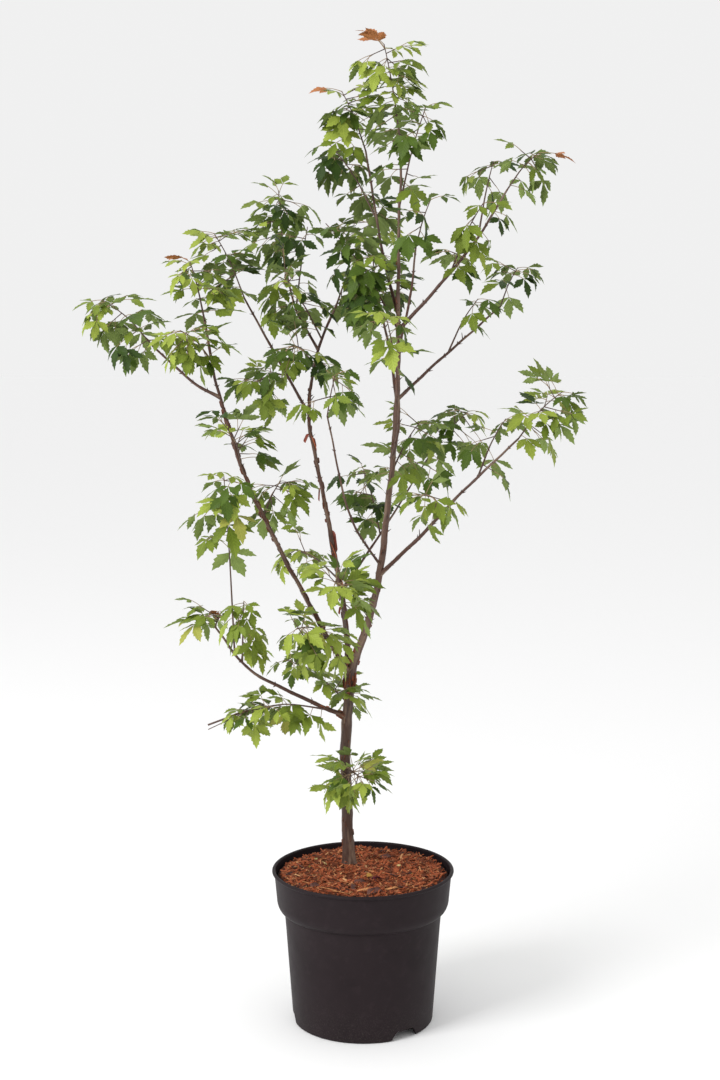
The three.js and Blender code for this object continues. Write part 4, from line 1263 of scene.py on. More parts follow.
def blade_material(name, tone, finish, vein_share):
    """Leaf blade: a tone that wanders a little, paler veins and pillows between them."""
    material, wiring, shader, mottle = mottled(name, tone, finish)
    flat = wiring.tree.nodes.new("ShaderNodeUVMap").outputs["UV"]
    veins = wiring.group(vein_group(), Map=flat)
    vein_tone = rgba(shaded(tone, vein_share))
    share = wiring.maths("MULTIPLY", veins.outputs["Vein"], VEIN_STRENGTH)
    wiring.feed(shader.inputs["Base Color"], wiring.mix(share, mottle.outputs["Color"], vein_tone))
    bump(wiring, shader, veins.outputs["Height"], finish.relief, finish.depth)
    return material


def bark_material(name, sizes, peeling, smooth_from, tinge):
    """Bark that peels up to a length along the limb, in millimetres, and is smooth past it."""
    base = np.multiply(sizes.base, tinge)
    smooth = np.multiply(sizes.smooth, tinge)
    material, wiring, shader = material_base(name)
    place = wiring.node("ShaderNodeAttribute", {"attribute_name": "bark_place"}).outputs["Vector"]
    bark = wiring.group(bark_group(), Place=place, Base=rgba(base), Dark=rgba(sizes.dark),
                        Pale=rgba(sizes.pale), Smooth=rgba(smooth), Cinnamon=rgba(sizes.cinnamon),
                        Peeling=peeling, Smooth_From=smooth_from * MM)
    wiring.feed(shader.inputs["Base Color"], bark.outputs["Color"])
    wiring.feed(shader.inputs["Roughness"], bark.outputs["Roughness"])
    set_gloss(shader, BARK_SPECULAR)
    bump(wiring, shader, bark.outputs["Height"], BARK_BUMP, BARK_BUMP_DEPTH)
    return material


# Geometry Nodes

def scatter_tree(name, size, corners, lean, material):
    """A node tree that strews small bent shreds over a surface."""
    tree, given, made = make_group(name, [
        ("Surface", "Geometry", None), ("Density", "Float", None), ("Seed", "Int", None),
        ("Bend", "Float", None)], [("Geometry", "Geometry")], "GeometryNodeTree")
    wiring = Wiring(tree)
    seed = given["Seed"]
    points = wiring.node("GeometryNodeDistributePointsOnFaces", Mesh=given["Surface"],
                         Density=given["Density"], Seed=seed)
    shred = wiring.node("GeometryNodeMeshCube", Size=[side * MM for side in size],
                        Vertices_X=corners, Vertices_Y=2, Vertices_Z=2)
    leaning = wiring.random_vector((-lean, -lean, 0), (lean, lean, 2 * math.pi), seed)
    turn = wiring.node("FunctionNodeEulerToRotation", Euler=leaning)
    scale = wiring.random_vector(*SHRED_SCALES, wiring.maths("ADD", seed, SCALE_SEED_STEP))
    strewn = wiring.node("GeometryNodeInstanceOnPoints", Points=points.outputs["Points"],
                         Instance=shred.outputs["Mesh"], Rotation=turn.outputs[0], Scale=scale)
    real = wiring.node("GeometryNodeRealizeInstances", Geometry=strewn.outputs[0])
    place = tree.nodes.new("GeometryNodeInputPosition").outputs[0]
    swirl = wiring.node("ShaderNodeTexNoise", Vector=place, Scale=SWIRL_SCALE, Detail=1.0)
    centred = wiring.fed("ShaderNodeVectorMath", {"operation": "SUBTRACT"}, swirl.outputs["Color"],
                         (0.5, 0.5, 0.5))
    pushed = wiring.node("ShaderNodeVectorMath", {"operation": "SCALE"}, Scale=given["Bend"])
    wiring.feed(pushed.inputs[0], centred)
    bent = wiring.node("GeometryNodeSetPosition", Geometry=real.outputs[0], Offset=pushed.outputs[0])
    wiring.feed(made["Geometry"], wiring.realized(bent.outputs[0], material))
    return tree


def grown_object(name, source, tree, material, **inputs):
    """The mesh that a node tree makes on a source object, as an object of its own."""
    modifier = source.modifiers.new("grow", "NODES")
    modifier.node_group = tree
    for item in tree.interface.items_tree:
        if item.item_type == "SOCKET" and item.in_out == "INPUT" and item.name in inputs:
            modifier[item.identifier] = inputs[item.name]
    depsgraph = bpy.context.evaluated_depsgraph_get()
    depsgraph.update()
    mesh = bpy.data.meshes.new_from_object(source.evaluated_get(depsgraph))
    source.modifiers.remove(modifier)
    mesh.name = name
    if not mesh.polygons:
        raise RuntimeError(f"{name}: the node tree made no faces")
    mesh.materials.clear()
    mesh.materials.append(material)
    return linked_object(name, mesh)


def bud_tree(material):
    """A node tree that sets a small pointed bud on every point, turned to the point's own direction."""
    tree, given, made = make_group("Buds", [
        ("Points", "Geometry", None), ("Length", "Float", None), ("Width", "Float", None),
        ("Seed", "Int", None)], [("Geometry", "Geometry")], "GeometryNodeTree")
    wiring = Wiring(tree)
    cone = wiring.node("GeometryNodeMeshCone", {"fill_type": "TRIANGLE_FAN"}, Vertices=6, Side_Segments=2,
                       Radius_Top=BUD_TIP_RADIUS * MM, Radius_Bottom=given["Width"], Depth=given["Length"])
    outward = wiring.node("GeometryNodeInputNamedAttribute", {"data_type": "FLOAT_VECTOR"}, Name="outward")
    turn = wiring.node("FunctionNodeAlignRotationToVector", {"axis": "Z"},
                       Vector=outward.outputs["Attribute"])
    scale = wiring.random_vector(*BUD_SCALES, given["Seed"])
    dots = wiring.node("GeometryNodeMeshToPoints", Mesh=given["Points"])
    buds = wiring.node("GeometryNodeInstanceOnPoints", Points=dots.outputs[0], Instance=cone.outputs["Mesh"],
                       Rotation=turn.outputs[0], Scale=scale)
    wiring.feed(made["Geometry"], wiring.realized(buds.outputs[0], material))
    return tree


# Pot

def pot_outline():
    """The pot's outline: underside, wall, shoulder, collar, rolled lip, and back down inside."""
    body_top = COLLAR_FOOT_RADIUS - SHOULDER_WIDTH
    lip_height = POT_HEIGHT - LIP_RADIUS
    outside = [
        (0, 0), (FOOT_DISC_RADIUS - 2, 0), (FOOT_DISC_RADIUS, 1),
        (FOOT_DISC_RADIUS + FOOT_DRAFT, FOOT_HOLLOW), (FOOT_RING_RADIUS - FOOT_DRAFT, FOOT_HOLLOW),
        (FOOT_RING_RADIUS, 1), (FOOT_RING_RADIUS + 1, 0),
        *arc((BASE_RADIUS - BASE_CORNER, BASE_CORNER), BASE_CORNER, -90, 0, CORNER_STEPS),
    ]
    low, high = BASE_CORNER, COLLAR_FOOT_HEIGHT - SHOULDER_HEIGHT
    for i in range(1, POT_WALL_STEPS):
        share = i / POT_WALL_STEPS
        outside.append((BASE_RADIUS + (body_top - BASE_RADIUS) * share, low + (high - low) * share))
    shoulder = [
        (body_top + SHOULDER_WIDTH * math.cos(a), COLLAR_FOOT_HEIGHT - SHOULDER_HEIGHT * math.sin(a))
        for a in np.radians(np.linspace(90, 0, SHOULDER_STEPS))]
    groove = [(body_top + 0.3, high - 1.2), (body_top + 1.6, high - 0.4)]
    collar = [(COLLAR_FOOT_RADIUS + 0.2, COLLAR_FOOT_HEIGHT + 2),
              (COLLAR_TOP_RADIUS + 1, POT_HEIGHT - 2 * ROLL_RADIUS - 1)]
    roll_centre = (LIP_CENTRE + LIP_RADIUS - ROLL_RADIUS, POT_HEIGHT - ROLL_RADIUS)
    lip = arc(roll_centre, ROLL_RADIUS, *LIP_ARC, LIP_STEPS)
    inside = [(COLLAR_TOP_RADIUS - POT_WALL + 1.5, lip_height - LIP_RADIUS),
              (COLLAR_FOOT_RADIUS - POT_WALL, COLLAR_FOOT_HEIGHT)]
    inside += [(radius - POT_WALL, height + POT_WALL) for radius, height in reversed(shoulder[:-1])]
    inside += [(BASE_RADIUS - POT_WALL + FOOT_DRAFT, FOOT_HOLLOW + POT_WALL),
               (FOOT_DISC_RADIUS + FOOT_DRAFT - POT_WALL, FOOT_HOLLOW + POT_WALL),
               (FOOT_DISC_RADIUS - POT_WALL, POT_WALL), (0, POT_WALL)]
    return outside + groove + shoulder[1:] + collar + lip + inside


def notch_cutter(bearing):
    """A tapered block with a rounded top that cuts one drainage notch."""
    half_foot, half_top = NOTCH_FOOT_WIDTH / 2, NOTCH_TOP_WIDTH / 2
    corner = NOTCH_CORNER
    outline = [(-half_foot, -3), (half_foot, -3), (half_top + 2, NOTCH_HEIGHT - corner)]
    outline += [(half_top - corner + corner * math.cos(a), NOTCH_HEIGHT - corner + corner * math.sin(a))
                for a in np.radians([20, 45, 70, 90])]
    outline += [(-x, z) for x, z in reversed(outline[2:])]
    made = bmesh.new()
    near = [made.verts.new((x * MM, -(BASE_RADIUS + NOTCH_DEPTH / 2) * MM, z * MM)) for x, z in outline]
    far = [made.verts.new((x * MM, -(BASE_RADIUS - NOTCH_DEPTH / 2) * MM, z * MM)) for x, z in outline]
    made.faces.new(near)
    made.faces.new(list(reversed(far)))
    for i in range(len(outline)):
        after = (i + 1) % len(outline)
        made.faces.new([near[i], far[i], far[after], near[after]])
    bmesh.ops.recalc_face_normals(made, faces=made.faces)
    mesh = finished_mesh("notch", made)
    mesh.transform(Matrix.Rotation(math.radians(bearing), 4, "Z"))
    return linked_object("notch", mesh)


def bake(piece):
    """Makes a piece's modifiers part of its mesh."""
    depsgraph = bpy.context.evaluated_depsgraph_get()
    depsgraph.update()
    mesh = bpy.data.meshes.new_from_object(piece.evaluated_get(depsgraph))
    piece.modifiers.clear()
    piece.data = mesh


# Mulch

def mulch_height(x, y):
    """Height of the mulch at a place: level, lumpy, dropping at the wall and heaped at the trunk."""
    radius = np.hypot(x, y)
    edge = np.clip((radius - LEVEL_RADIUS) / (SOIL_RADIUS - LEVEL_RADIUS), 0, 1)
    # Broad, middling and fine lumps
    lumps = (1.6 * np.sin(x * 0.11 + 1.3) * np.sin(y * 0.13 + 0.4) + 1.0 * np.sin(x * 0.27 - y * 0.21)
             + 0.7 * np.sin(x * 0.61 + y * 0.47 + 2.0))
    from_trunk = (x - HEAP_PLACE[0]) ** 2 + (y - HEAP_PLACE[1]) ** 2
    heap = HEAP_HEIGHT * np.exp(-from_trunk / HEAP_REACH ** 2)
    level = SOIL_TOP + MULCH_LIFT - SOIL_EDGE_DROP * edge * edge
    return level + lumps * (1 - 0.6 * edge) + heap


def mulch_disc(radius, spokes, rings):
    """A closed lumpy disc: corners and faces."""
    corners = [(0, 0, float(mulch_height(0, 0)))]
    angles = np.arange(spokes) * 2 * math.pi / spokes
    for ring in range(1, rings + 1):
        x = np.cos(angles) * radius * ring / rings
        y = np.sin(angles) * radius * ring / rings
        corners.extend(zip(x, y, mulch_height(x, y)))
    low = SOIL_TOP - MULCH_DEPTH
    foot = radius - MULCH_TAPER
    corners.extend(zip(np.cos(angles) * foot, np.sin(angles) * foot, [low] * spokes))
    corners.append((0, 0, low))
    faces = []
    for spoke in range(spokes):
        after = (spoke + 1) % spokes
        faces.append((0, 1 + spoke, 1 + after))
        for ring in range(rings):
            inner = 1 + ring * spokes
            outer = inner + spokes
            faces.append((inner + spoke, outer + spoke, outer + after))
            faces.append((inner + spoke, outer + after, inner + after))
        last = 1 + rings * spokes
        faces.append((last + spoke, len(corners) - 1, last + after))
    return corners, faces


def scatter_source(radius):
    """An open lumpy disc that shreds are strewn over, removed after use."""
    corners, faces = mulch_disc(radius, SOURCE_SPOKES, SOURCE_RINGS)
    top = [face for face in faces if max(face) < len(corners) - SOURCE_SPOKES - 1]
    mesh = bpy.data.meshes.new("strewn")
    mesh.from_pydata([tuple(c * MM for c in corner) for corner in corners], [], top)
    return linked_object("strewn", mesh)


def litter(kind):
    """Larger bits of one kind that lie on the mulch."""
    tone, bits = LITTER[kind]
    pile = Pile()
    for x, y, turn, length, width in bits:
        along = np.array([math.cos(turn), math.sin(turn), LITTER_TILT * math.sin(5 * turn)])
        held = np.array([x, y, float(mulch_height(x, y)) + LITTER_LIFT])
        pile.add(*curl(held, unit(along), UP, length, width, LITTER_CURL, LITTER_THICKNESS))
    return pile.mesh_object("litter_" + kind, mottled_material("litter_" + kind, tone, CHIP_FINISH))


# Bark

def fine_line(limb, spacing):
    """The limb's line in fine steps, with a slight wander, and the share of its length at each."""
    steps = max(int(limb.path.length / spacing), LEAST_STEPS)
    fine = Path(limb.path.points, steps)
    shares = np.linspace(0, 1, steps + 1)
    reach = shares * limb.path.length
    calm = np.minimum(reach, limb.path.length - reach) / CALM_LENGTH
    calm = np.clip(calm, 0, 1)[:, None]
    random = SeededRandom(len(limb.name) * 31 + int(limb.path.length))
    drift = np.zeros((steps + 1, 3))
    for axis in range(3):
        for wave in WANDER_WAVES:
            drift[:, axis] += np.sin(reach * wave + PHASES * random.draw()) * WANDER_REACH
    return fine.points + drift * calm * min(limb.radii[0] / CALM_RADIUS, 1), shares


def bark_relief(reach, radii, sides, seed, relief, nodes):
    """Radius of each corner of a limb: ridges along it, dents and swollen nodes."""
    random = SeededRandom(seed)
    angles = np.arange(sides) * 2 * math.pi / sides
    rough = np.zeros((len(reach), sides))
    for turns, wave, height in RIDGES:
        phase = PHASES * random.draw()
        slide = PHASES * random.draw()
        swing = np.sin(reach * wave + slide)[:, None] * RIDGE_SWING
        swell = (0.6 + 0.4 * np.sin(reach * wave * 1.7 + phase))[:, None]
        rough += height * np.sin(turns * angles[None] + phase + swing) * swell
    rough *= relief
    for place, height, width in nodes:
        rough += (height * np.exp(-((reach - place) / width) ** 2))[:, None]
    return radii[:, None] * (1 + rough)


def limb_nodes(length, seed, spacing, height, width):
    """Swollen nodes along a limb: place, height and width of each."""
    random = SeededRandom(seed)
    nodes = []
    place = spacing * (0.5 + 0.5 * random.draw())
    while place < length - NODE_FREE_END:
        nodes.append((place, height * random.between(*NODE_HEIGHTS), width))
        place += spacing * random.between(*NODE_GAPS)
    return nodes


def trunk_and_leader(limbs):
    """The trunk running on into the right-hand stem: its line, radii, and where the fork is."""
    trunk = limbs["trunk"]
    leader = limbs["stem_right"]
    lower, lower_shares = fine_line(trunk, TRUNK_STEP)
    upper, upper_shares = fine_line(leader, LEADER_STEP)
    line = np.concatenate([lower[:-1], upper])
    radii = np.concatenate([trunk.radius(lower_shares)[:-1], leader.radius(upper_shares)])
    kernel = np.hanning(BLEND_STEPS)[1:-1]
    kernel /= kernel.sum()
    ends = len(kernel) // 2
    padded = np.concatenate([np.repeat(radii[:1], ends), radii, np.repeat(radii[-1:], ends)])
    smooth = np.convolve(padded, kernel, mode="valid")
    smooth[:FLARE_STEPS] = radii[:FLARE_STEPS]
    return line, smooth, trunk.path.length


def curl(surface, along, outward, length, width, tightness, thickness=PEEL_THICKNESS):
    """One strip of peeling bark, held along one edge and curling off the limb."""
    around = np.cross(outward, along)
    rows = CURL_ROWS
    sweep = np.linspace(0, 1, CURL_COLUMNS)
    angle = sweep * tightness
    radius = width / max(tightness, 0.5)
    off = radius * (1 - np.cos(angle))
    across = radius * np.sin(angle)
    points = []
    for layer in (0, 1):
        for row in range(rows):
            v = row / (rows - 1) - 0.5
            torn = OUTER_TEAR if row in (0, rows - 1) else INNER_TEAR
            ragged = 1 - torn * sweep ** 2
            inset = layer * thickness
            points.append(surface + np.outer(v * length * ragged, along)
                          + np.outer(across - inset * np.sin(angle), around)
                          + np.outer(off - CURL_SINK + inset * np.cos(angle), outward))
    return np.concatenate(points), curl_faces(rows, CURL_COLUMNS)


def curl_faces(rows, columns):
    """Faces of a strip's two sheets and of the rim that joins them."""
    faces = []
    sheet = rows * columns
    for row in range(rows - 1):
        for column in range(columns - 1):
            a = row * columns + column
            b, c, d = a + 1, a + columns + 1, a + columns
            faces += [(a, b, c), (a, c, d)]
            faces += [(sheet + a, sheet + c, sheet + b), (sheet + a, sheet + d, sheet + c)]
    rim = (list(range(columns)) + [row * columns + columns - 1 for row in range(1, rows)]
           + [(rows - 1) * columns + column for column in range(columns - 2, -1, -1)]
           + [row * columns for row in range(rows - 2, 0, -1)])
    for a, b in zip(rim, rim[1:] + rim[:1]):
        faces += [(b, a, sheet + a), (b, sheet + a, sheet + b)]
    return faces


# Leaves

def leaflet_sheet():
    """Corners of a leaflet as shares along and across it, their lift above the rim, and its faces."""
    across = np.array(SHEET_COLUMNS)
    along = np.array([edge[0] for edge in LEAFLET_EDGE])
    width = np.array([edge[1] for edge in LEAFLET_EDGE])
    lift = np.where(np.abs(across) < 1, 1, 0)
    # Side veins run forward, so that the inner corners lie behind the tooth that they lead to
    slanted = along[:, None] - VEIN_SLANT * width[:, None] * (1 - np.abs(across))[None]
    slanted[0] = along[0]
    slanted[-1] = along[-1]
    grid_x = np.maximum.accumulate(slanted, axis=0)
    grid_y = width[:, None] * across[None]
    rows, columns = grid_x.shape
    inside = np.broadcast_to(lift, grid_x.shape).copy()
    inside[0] = 0
    inside[-1] = 0
    faces = []
    for row in range(rows - 1):
        for column in range(columns - 1):
            a = row * columns + column
            # Both sheets are split along the same diagonals, or one would show through the other
            faces.append((a, a + columns, a + columns + 1))
            faces.append((a, a + columns + 1, a + 1))
    return grid_x.ravel(), grid_y.ravel(), inside.ravel(), np.array(faces)


def leaf_sheets(leaf, x, across, rise, random):
    """The upper and lower sheets of a leaf's three leaflets, which share their rims."""
    uppers = []
    lowers = []
    for aside, share, foot in LEAFLETS:
        length = leaf.size * share * random.between(*LENGTH_SHARES)
        splay = math.radians(aside * random.between(*SIDE_SPLAYS) + random.wander(SPLAY_WANDER))
        forward = turned(leaf.forward, leaf.top, splay)
        side = np.cross(leaf.top, forward)
        tilt = math.radians(random.wander(TILT_WANDER) - aside * random.between(*SIDE_TILTS))
        side = turned(side, forward, tilt)
        top = np.cross(forward, side)
        droop = math.radians(random.between(*DROOPS))
        forward = turned(forward, side, droop)
        top = turned(top, side, droop)
        # The outer half of a side leaflet is the wider one
        uneven = 1 + OUTER_HALF * aside * np.sign(across)
        y = across * random.between(*WIDTH_SHARES) * uneven
        fold = LEAFLET_FOLD * random.between(*FOLD_SHARES)
        sag = LEAFLET_SAG * random.between(*SAG_SHARES)
        phase = PHASES * random.draw()
        wave = RIM_WAVE * np.sin(x * RIM_WAVES + phase + np.sign(y) * RIM_SHIFT) * np.abs(y) / FULL_HALF_WIDTH
        z = fold * np.abs(y) - sag * x * x + wave
        y = y + random.wander(BEND_WANDER) * x * x
        middle = (leaf.centre + forward * foot + np.outer(x * length, forward) + np.outer(y * length, side)
                  + np.outer(z * length, top))
        lift = np.outer(rise * LEAF_HALF_THICKNESS, top)
        uppers.append(middle + lift)
        lowers.append(middle - lift)
    return uppers, lowers


def spray_tint(mass, random):
    """The tint of one spray: dark as painted shade in the shaded masses, fresh low down and at the top."""
    tints = COMMON_TINTS
    if mass.name in SHADED:
        tints = SHADED_TINTS
    if mass.name in FRESH:
        tints = FRESH_TINTS
    chance = random.draw()
    return next(tint for tint, reached in tints if chance <= reached)


def leaf_tints(mass, random):
    """The tint of each leaf of a mass: by spray, with bronze newest leaves at growing tips."""
    sprays = {}
    tints = []
    for order, leaf in enumerate(mass.leaves):
        if mass.name in GROWING_TIPS and order < GROWING_TIPS[mass.name]:
            tints.append("bronze")
        else:
            if leaf.spray not in sprays:
                sprays[leaf.spray] = spray_tint(mass, random)
            tints.append(sprays[leaf.spray])
    return tints


# Operators

class MAPLE_OT_pot(bpy.types.Operator):
    """Makes the nursery pot with its shoulder, rolled lip and drainage notches"""
    bl_idname = "maple.pot"
    bl_label = "Pot"

    def execute(self, context):
        sizes = context.scene.maple_pot
        pot = spun_mesh("nursery_pot", pot_outline(), sizes.segments, plastic_material(sizes))
        cutters = []
        for i in range(NOTCH_COUNT):
            cutter = notch_cutter(NOTCH_FIRST_BEARING + 360 * i / NOTCH_COUNT)
            cut = pot.modifiers.new("notch", "BOOLEAN")
            cut.operation = "DIFFERENCE"
            cut.solver = "FAST"
            cut.object = cutter
            cutters.append(cutter)
        bake(pot)
        for cutter in cutters:
            bpy.data.objects.remove(cutter)
        smooth_below(pot, SHARP_ANGLE)
        settle(pot, "pot", "pot")
        return {"FINISHED"}


class MAPLE_OT_mulch(bpy.types.Operator):
    """Fills the pot's top with bark mulch: a lumpy bed with chips, splinters and fibres strewn over it"""
    bl_idname = "maple.mulch"
    bl_label = "Mulch"

    def execute(self, context):
        sizes = context.scene.maple_mulch
        bed = Pile()
        bed.add(*mulch_disc(SOIL_RADIUS, BED_SPOKES, BED_RINGS))
        # The bed shows only between the shreds, so its dark tone is partly painted shade of those gaps
        material = mottled_material("mulch_bed", sizes.dark, BED_FINISH)
        settle(bed.mesh_object("mulch_bed", material), "mulch", "mulch")
        tones = {"rust": sizes.rust, "straw": sizes.straw,
                 "ginger": [(one + other) / 2 for one, other in zip(sizes.rust, sizes.straw)]}
        for name, kind in SHREDS.items():
            self.strew(name, kind, tones, sizes)
        for kind in LITTER:
            settle(litter(kind), "mulch", "mulch")
        return {"FINISHED"}

    def strew(self, name, kind, tones, sizes):
        """One kind of shred strewn over the mulch by Geometry Nodes."""
        reach, size, corners, lean, share, seed, tone, tone_share = kind
        material = mottled_material(name, shaded(tones[tone], tone_share), CHIP_FINISH)
        tree = scatter_tree(name, size, corners, lean, material)
        source = scatter_source(reach)
        piece = grown_object(name, source, tree, material,
                             Density=sizes.density * share, Seed=seed, Bend=sizes.bend)
        bpy.data.objects.remove(source)
        settle(piece, "mulch", "mulch")


class MAPLE_OT_bark(bpy.types.Operator):
    """Makes trunk, stems and boughs as tapering limbs with bark in relief"""
    bl_idname = "maple.bark"
    bl_label = "Trunk and boughs"

    def execute(self, context):
        sizes = context.scene.maple_bark
        limbs = maple_tree().limbs
        line, radii, fork = trunk_and_leader(limbs)
        reach = np.concatenate([[0], np.cumsum(norm(np.diff(line, axis=0), axis=1))])
        after_fork = [*FORK_NODES, *limb_nodes(LEADER_LENGTH, LEADER_NODE_SEED, *LEADER_NODES)]
        nodes = [(fork + place, height, width) for place, height, width in after_fork] + [FOOT_NODE]
        corners = bark_relief(reach, radii, TRUNK_SIDES, TRUNK_SEED, sizes.relief, nodes)
        pile = Pile()
        pile.add(*tube(line, corners, TRUNK_SIDES, TRUNK_PINCH))
        material = bark_material("bark_trunk", sizes, TRUNK_PEELING, fork, TRUNK_TINGE)
        settle(pile.mesh_object("bark_trunk", material), "bark", "trunk", "stem_right")
        for name in ("stem_left", "stem_middle"):
            self.limb_piece(name, [limbs[name]], sizes, *STEM_BARK)
        boughs = [limb for name, limb in limbs.items() if name.startswith("bough")]
        self.limb_piece("boughs", boughs, sizes, *BOUGH_BARK)
        return {"FINISHED"}

    def limb_piece(self, name, limbs, sizes, sides, roughness, peeling):
        pile = Pile()
        for order, limb in enumerate(limbs):
            line, shares = fine_line(limb, LIMB_STEP)
            nodes = limb_nodes(limb.path.length, NODE_SEED + order, *LIMB_NODES)
            corners = bark_relief(shares * limb.path.length, limb.radius(shares), sides, RELIEF_SEED + order,
                                  sizes.relief * roughness, nodes)
            pile.add(*tube(line, corners, sides, LIMB_PINCH))
        material = bark_material("bark_" + name, sizes, peeling, NOWHERE, STEM_TINGE)
        piece = pile.mesh_object("bark_" + name, material)
        settle(piece, "bark", *[limb.name for limb in limbs])


class MAPLE_OT_peels(bpy.types.Operator):
    """Curls of papery bark that peel off the trunk and stems, most of them at the fork"""
    bl_idname = "maple.peels"
    bl_label = "Peeling bark"

    def execute(self, context):
        sizes = context.scene.maple_bark
        limbs = maple_tree().limbs
        random = SeededRandom(PEEL_SEED)
        piles = {name: Pile() for name in PEEL_SHARES}
        flakes, knot, strips = piles.values()
        for _ in range(sizes.peel_count):
            self.add_curls(flakes, limbs[random.pick(FLAKING)], 1, FLAKES, random)
        self.add_curls(knot, limbs["trunk"], sizes.knot_count, KNOT_CURLS, random)
        for name in KNOT_FEET:
            self.add_curls(knot, limbs[name], sizes.knot_count // len(KNOT_FEET), FOOT_CURLS, random)
        self.add_curls(strips, limbs["trunk"], sizes.strip_count, TRUNK_STRIPS, random, TRUNK_STRIP_FACING)
        self.add_curls(strips, limbs["bough_low_left"], BOUGH_STRIP_COUNT, BOUGH_STRIPS, random)
        for share in LONG_STRIPS:
            self.add_curl(strips, limbs["stem_middle"], share, random, *LONG_STRIP_SIZES, LONG_STRIP_FACING)
        hanging = Pile()
        for peel in HANGING_PEELS:
            self.add_hanging(hanging, limbs["stem_middle"], *peel)
        material = mottled_material("bark_hanging", HANGING_TONE, CURL_FINISH)
        settle(hanging.mesh_object("bark_hanging", material), "bark", "stem_middle")
        for name, pile in piles.items():
            material = mottled_material(name, shaded(sizes.cinnamon, PEEL_SHARES[name]), CURL_FINISH)
            settle(pile.mesh_object(name, material), "bark", "trunk")
        return {"FINISHED"}

    def add_hanging(self, pile, limb, share, lean, length, width, tightness):
        """One peel held at its upper end, which hangs beside the limb and leans away from it."""
        side = math.copysign(1, lean)
        lean = math.radians(lean)
        hang = np.array([math.sin(lean), 0, -math.cos(lean)])
        held = limb.seat(share, np.array([side, 0, 0]), HANGING_SEAT)
        pile.add(*curl(held + hang * length / 2, hang * side, FRONT, length, width, tightness))

    def add_curls(self, pile, limb, count, kind, random, facing=2 * math.pi):
        """Curls of one kind strewn over a part of a limb."""
        places, lengths, widths = kind
        for _ in range(count):
            self.add_curl(pile, limb, random.between(*places), random, lengths, widths, facing)

    def add_curl(self, pile, limb, share, random, lengths, widths, facing):
        """One curl on a limb, turned from the front by up to half of an angle either way."""
        along = limb.path.direction(share)
        front = unit(np.cross(np.cross(along, FRONT), along))
        outward = turned(front, along, facing * (random.draw() - 0.5))
        tilt = math.radians(random.wander(CURL_TILT))
        held = limb.seat(share, outward, CURL_SEAT)
        pile.add(*curl(held, turned(along, outward, tilt), outward, random.between(*lengths),
                       random.between(*widths), random.between(*TIGHTNESS)))


class MAPLE_OT_buds(bpy.types.Operator):
    """Sets pairs of small pointed buds and spurs along the stems and boughs by Geometry Nodes"""
    bl_idname = "maple.buds"
    bl_label = "Buds and spurs"

    def execute(self, context):
        sizes = context.scene.maple_bark
        limbs = maple_tree().limbs
        random = SeededRandom(BUD_PLACE_SEED)
        places, directions = self.bud_places(limbs, random)
        mesh = bpy.data.meshes.new("bud_places")
        mesh.from_pydata([tuple(place) for place in places], [], [])
        attribute = mesh.attributes.new("outward", "FLOAT_VECTOR", "POINT")
        attribute.data.foreach_set("vector", np.array(directions).ravel())
        source = linked_object("bud_places", mesh)
        material = mottled_material("buds", shaded(sizes.base, BUD_TONE_SHARE), BUD_FINISH)
        piece = grown_object("buds", source, bud_tree(material), material,
                             Length=BUD_LENGTH * MM, Width=BUD_WIDTH * MM, Seed=BUD_SEED)
        bpy.data.objects.remove(source)
        settle(piece, "bark")
        self.add_spurs(limbs, random, material)
        return {"FINISHED"}

    def bud_places(self, limbs, random):
        """Pairs of places along every limb but the trunk, each pair turned across the one before."""
        places = []
        directions = []
        for name, limb in limbs.items():
            if name == "trunk":
                continue
            turn = 2 * math.pi * random.draw()
            reach = random.between(*FIRST_BUDS)
            while reach < limb.path.length - BUD_FREE_END:
                share = reach / limb.path.length
                along = limb.path.direction(share)
                outward = turned(unit(np.cross(along, ASIDE)), along, turn)
                for facing in (outward, -outward):
                    places.append(limb.seat(share, facing, BUD_SEAT) * MM)
                    directions.append(unit(facing + along * BUD_SLANT))
                turn += math.pi / 2
                reach += random.between(*BUD_SPACING)
        return places, directions

    def add_spurs(self, limbs, random, material):
        """Short dead twigs that stand off the stems and the thicker boughs."""
        pile = Pile()
        for name, count in SPURS.items():
            limb = limbs[name]
            for _ in range(count):
                share = random.between(*SPUR_PLACES)
                along = limb.path.direction(share)
                outward = turned(unit(np.cross(along, ASIDE)), along, 2 * math.pi * random.draw())
                held = limb.seat(share, outward, SPUR_SEAT)
                heading = unit(outward + along * random.between(*SPUR_SLANTS))
                length = random.between(*SPUR_LENGTHS)
                bend = np.cross(heading, outward) * random.wander(SPUR_BEND)
                shares = np.linspace(0, 1, len(SPUR_RADII))[:, None]
                line = held + heading * length * shares + bend * shares ** 2
                pile.add_twig(line, SPUR_RADII, SPUR_SIDES, FINE_PINCH)
        settle(pile.mesh_object("spurs", material), "bark")


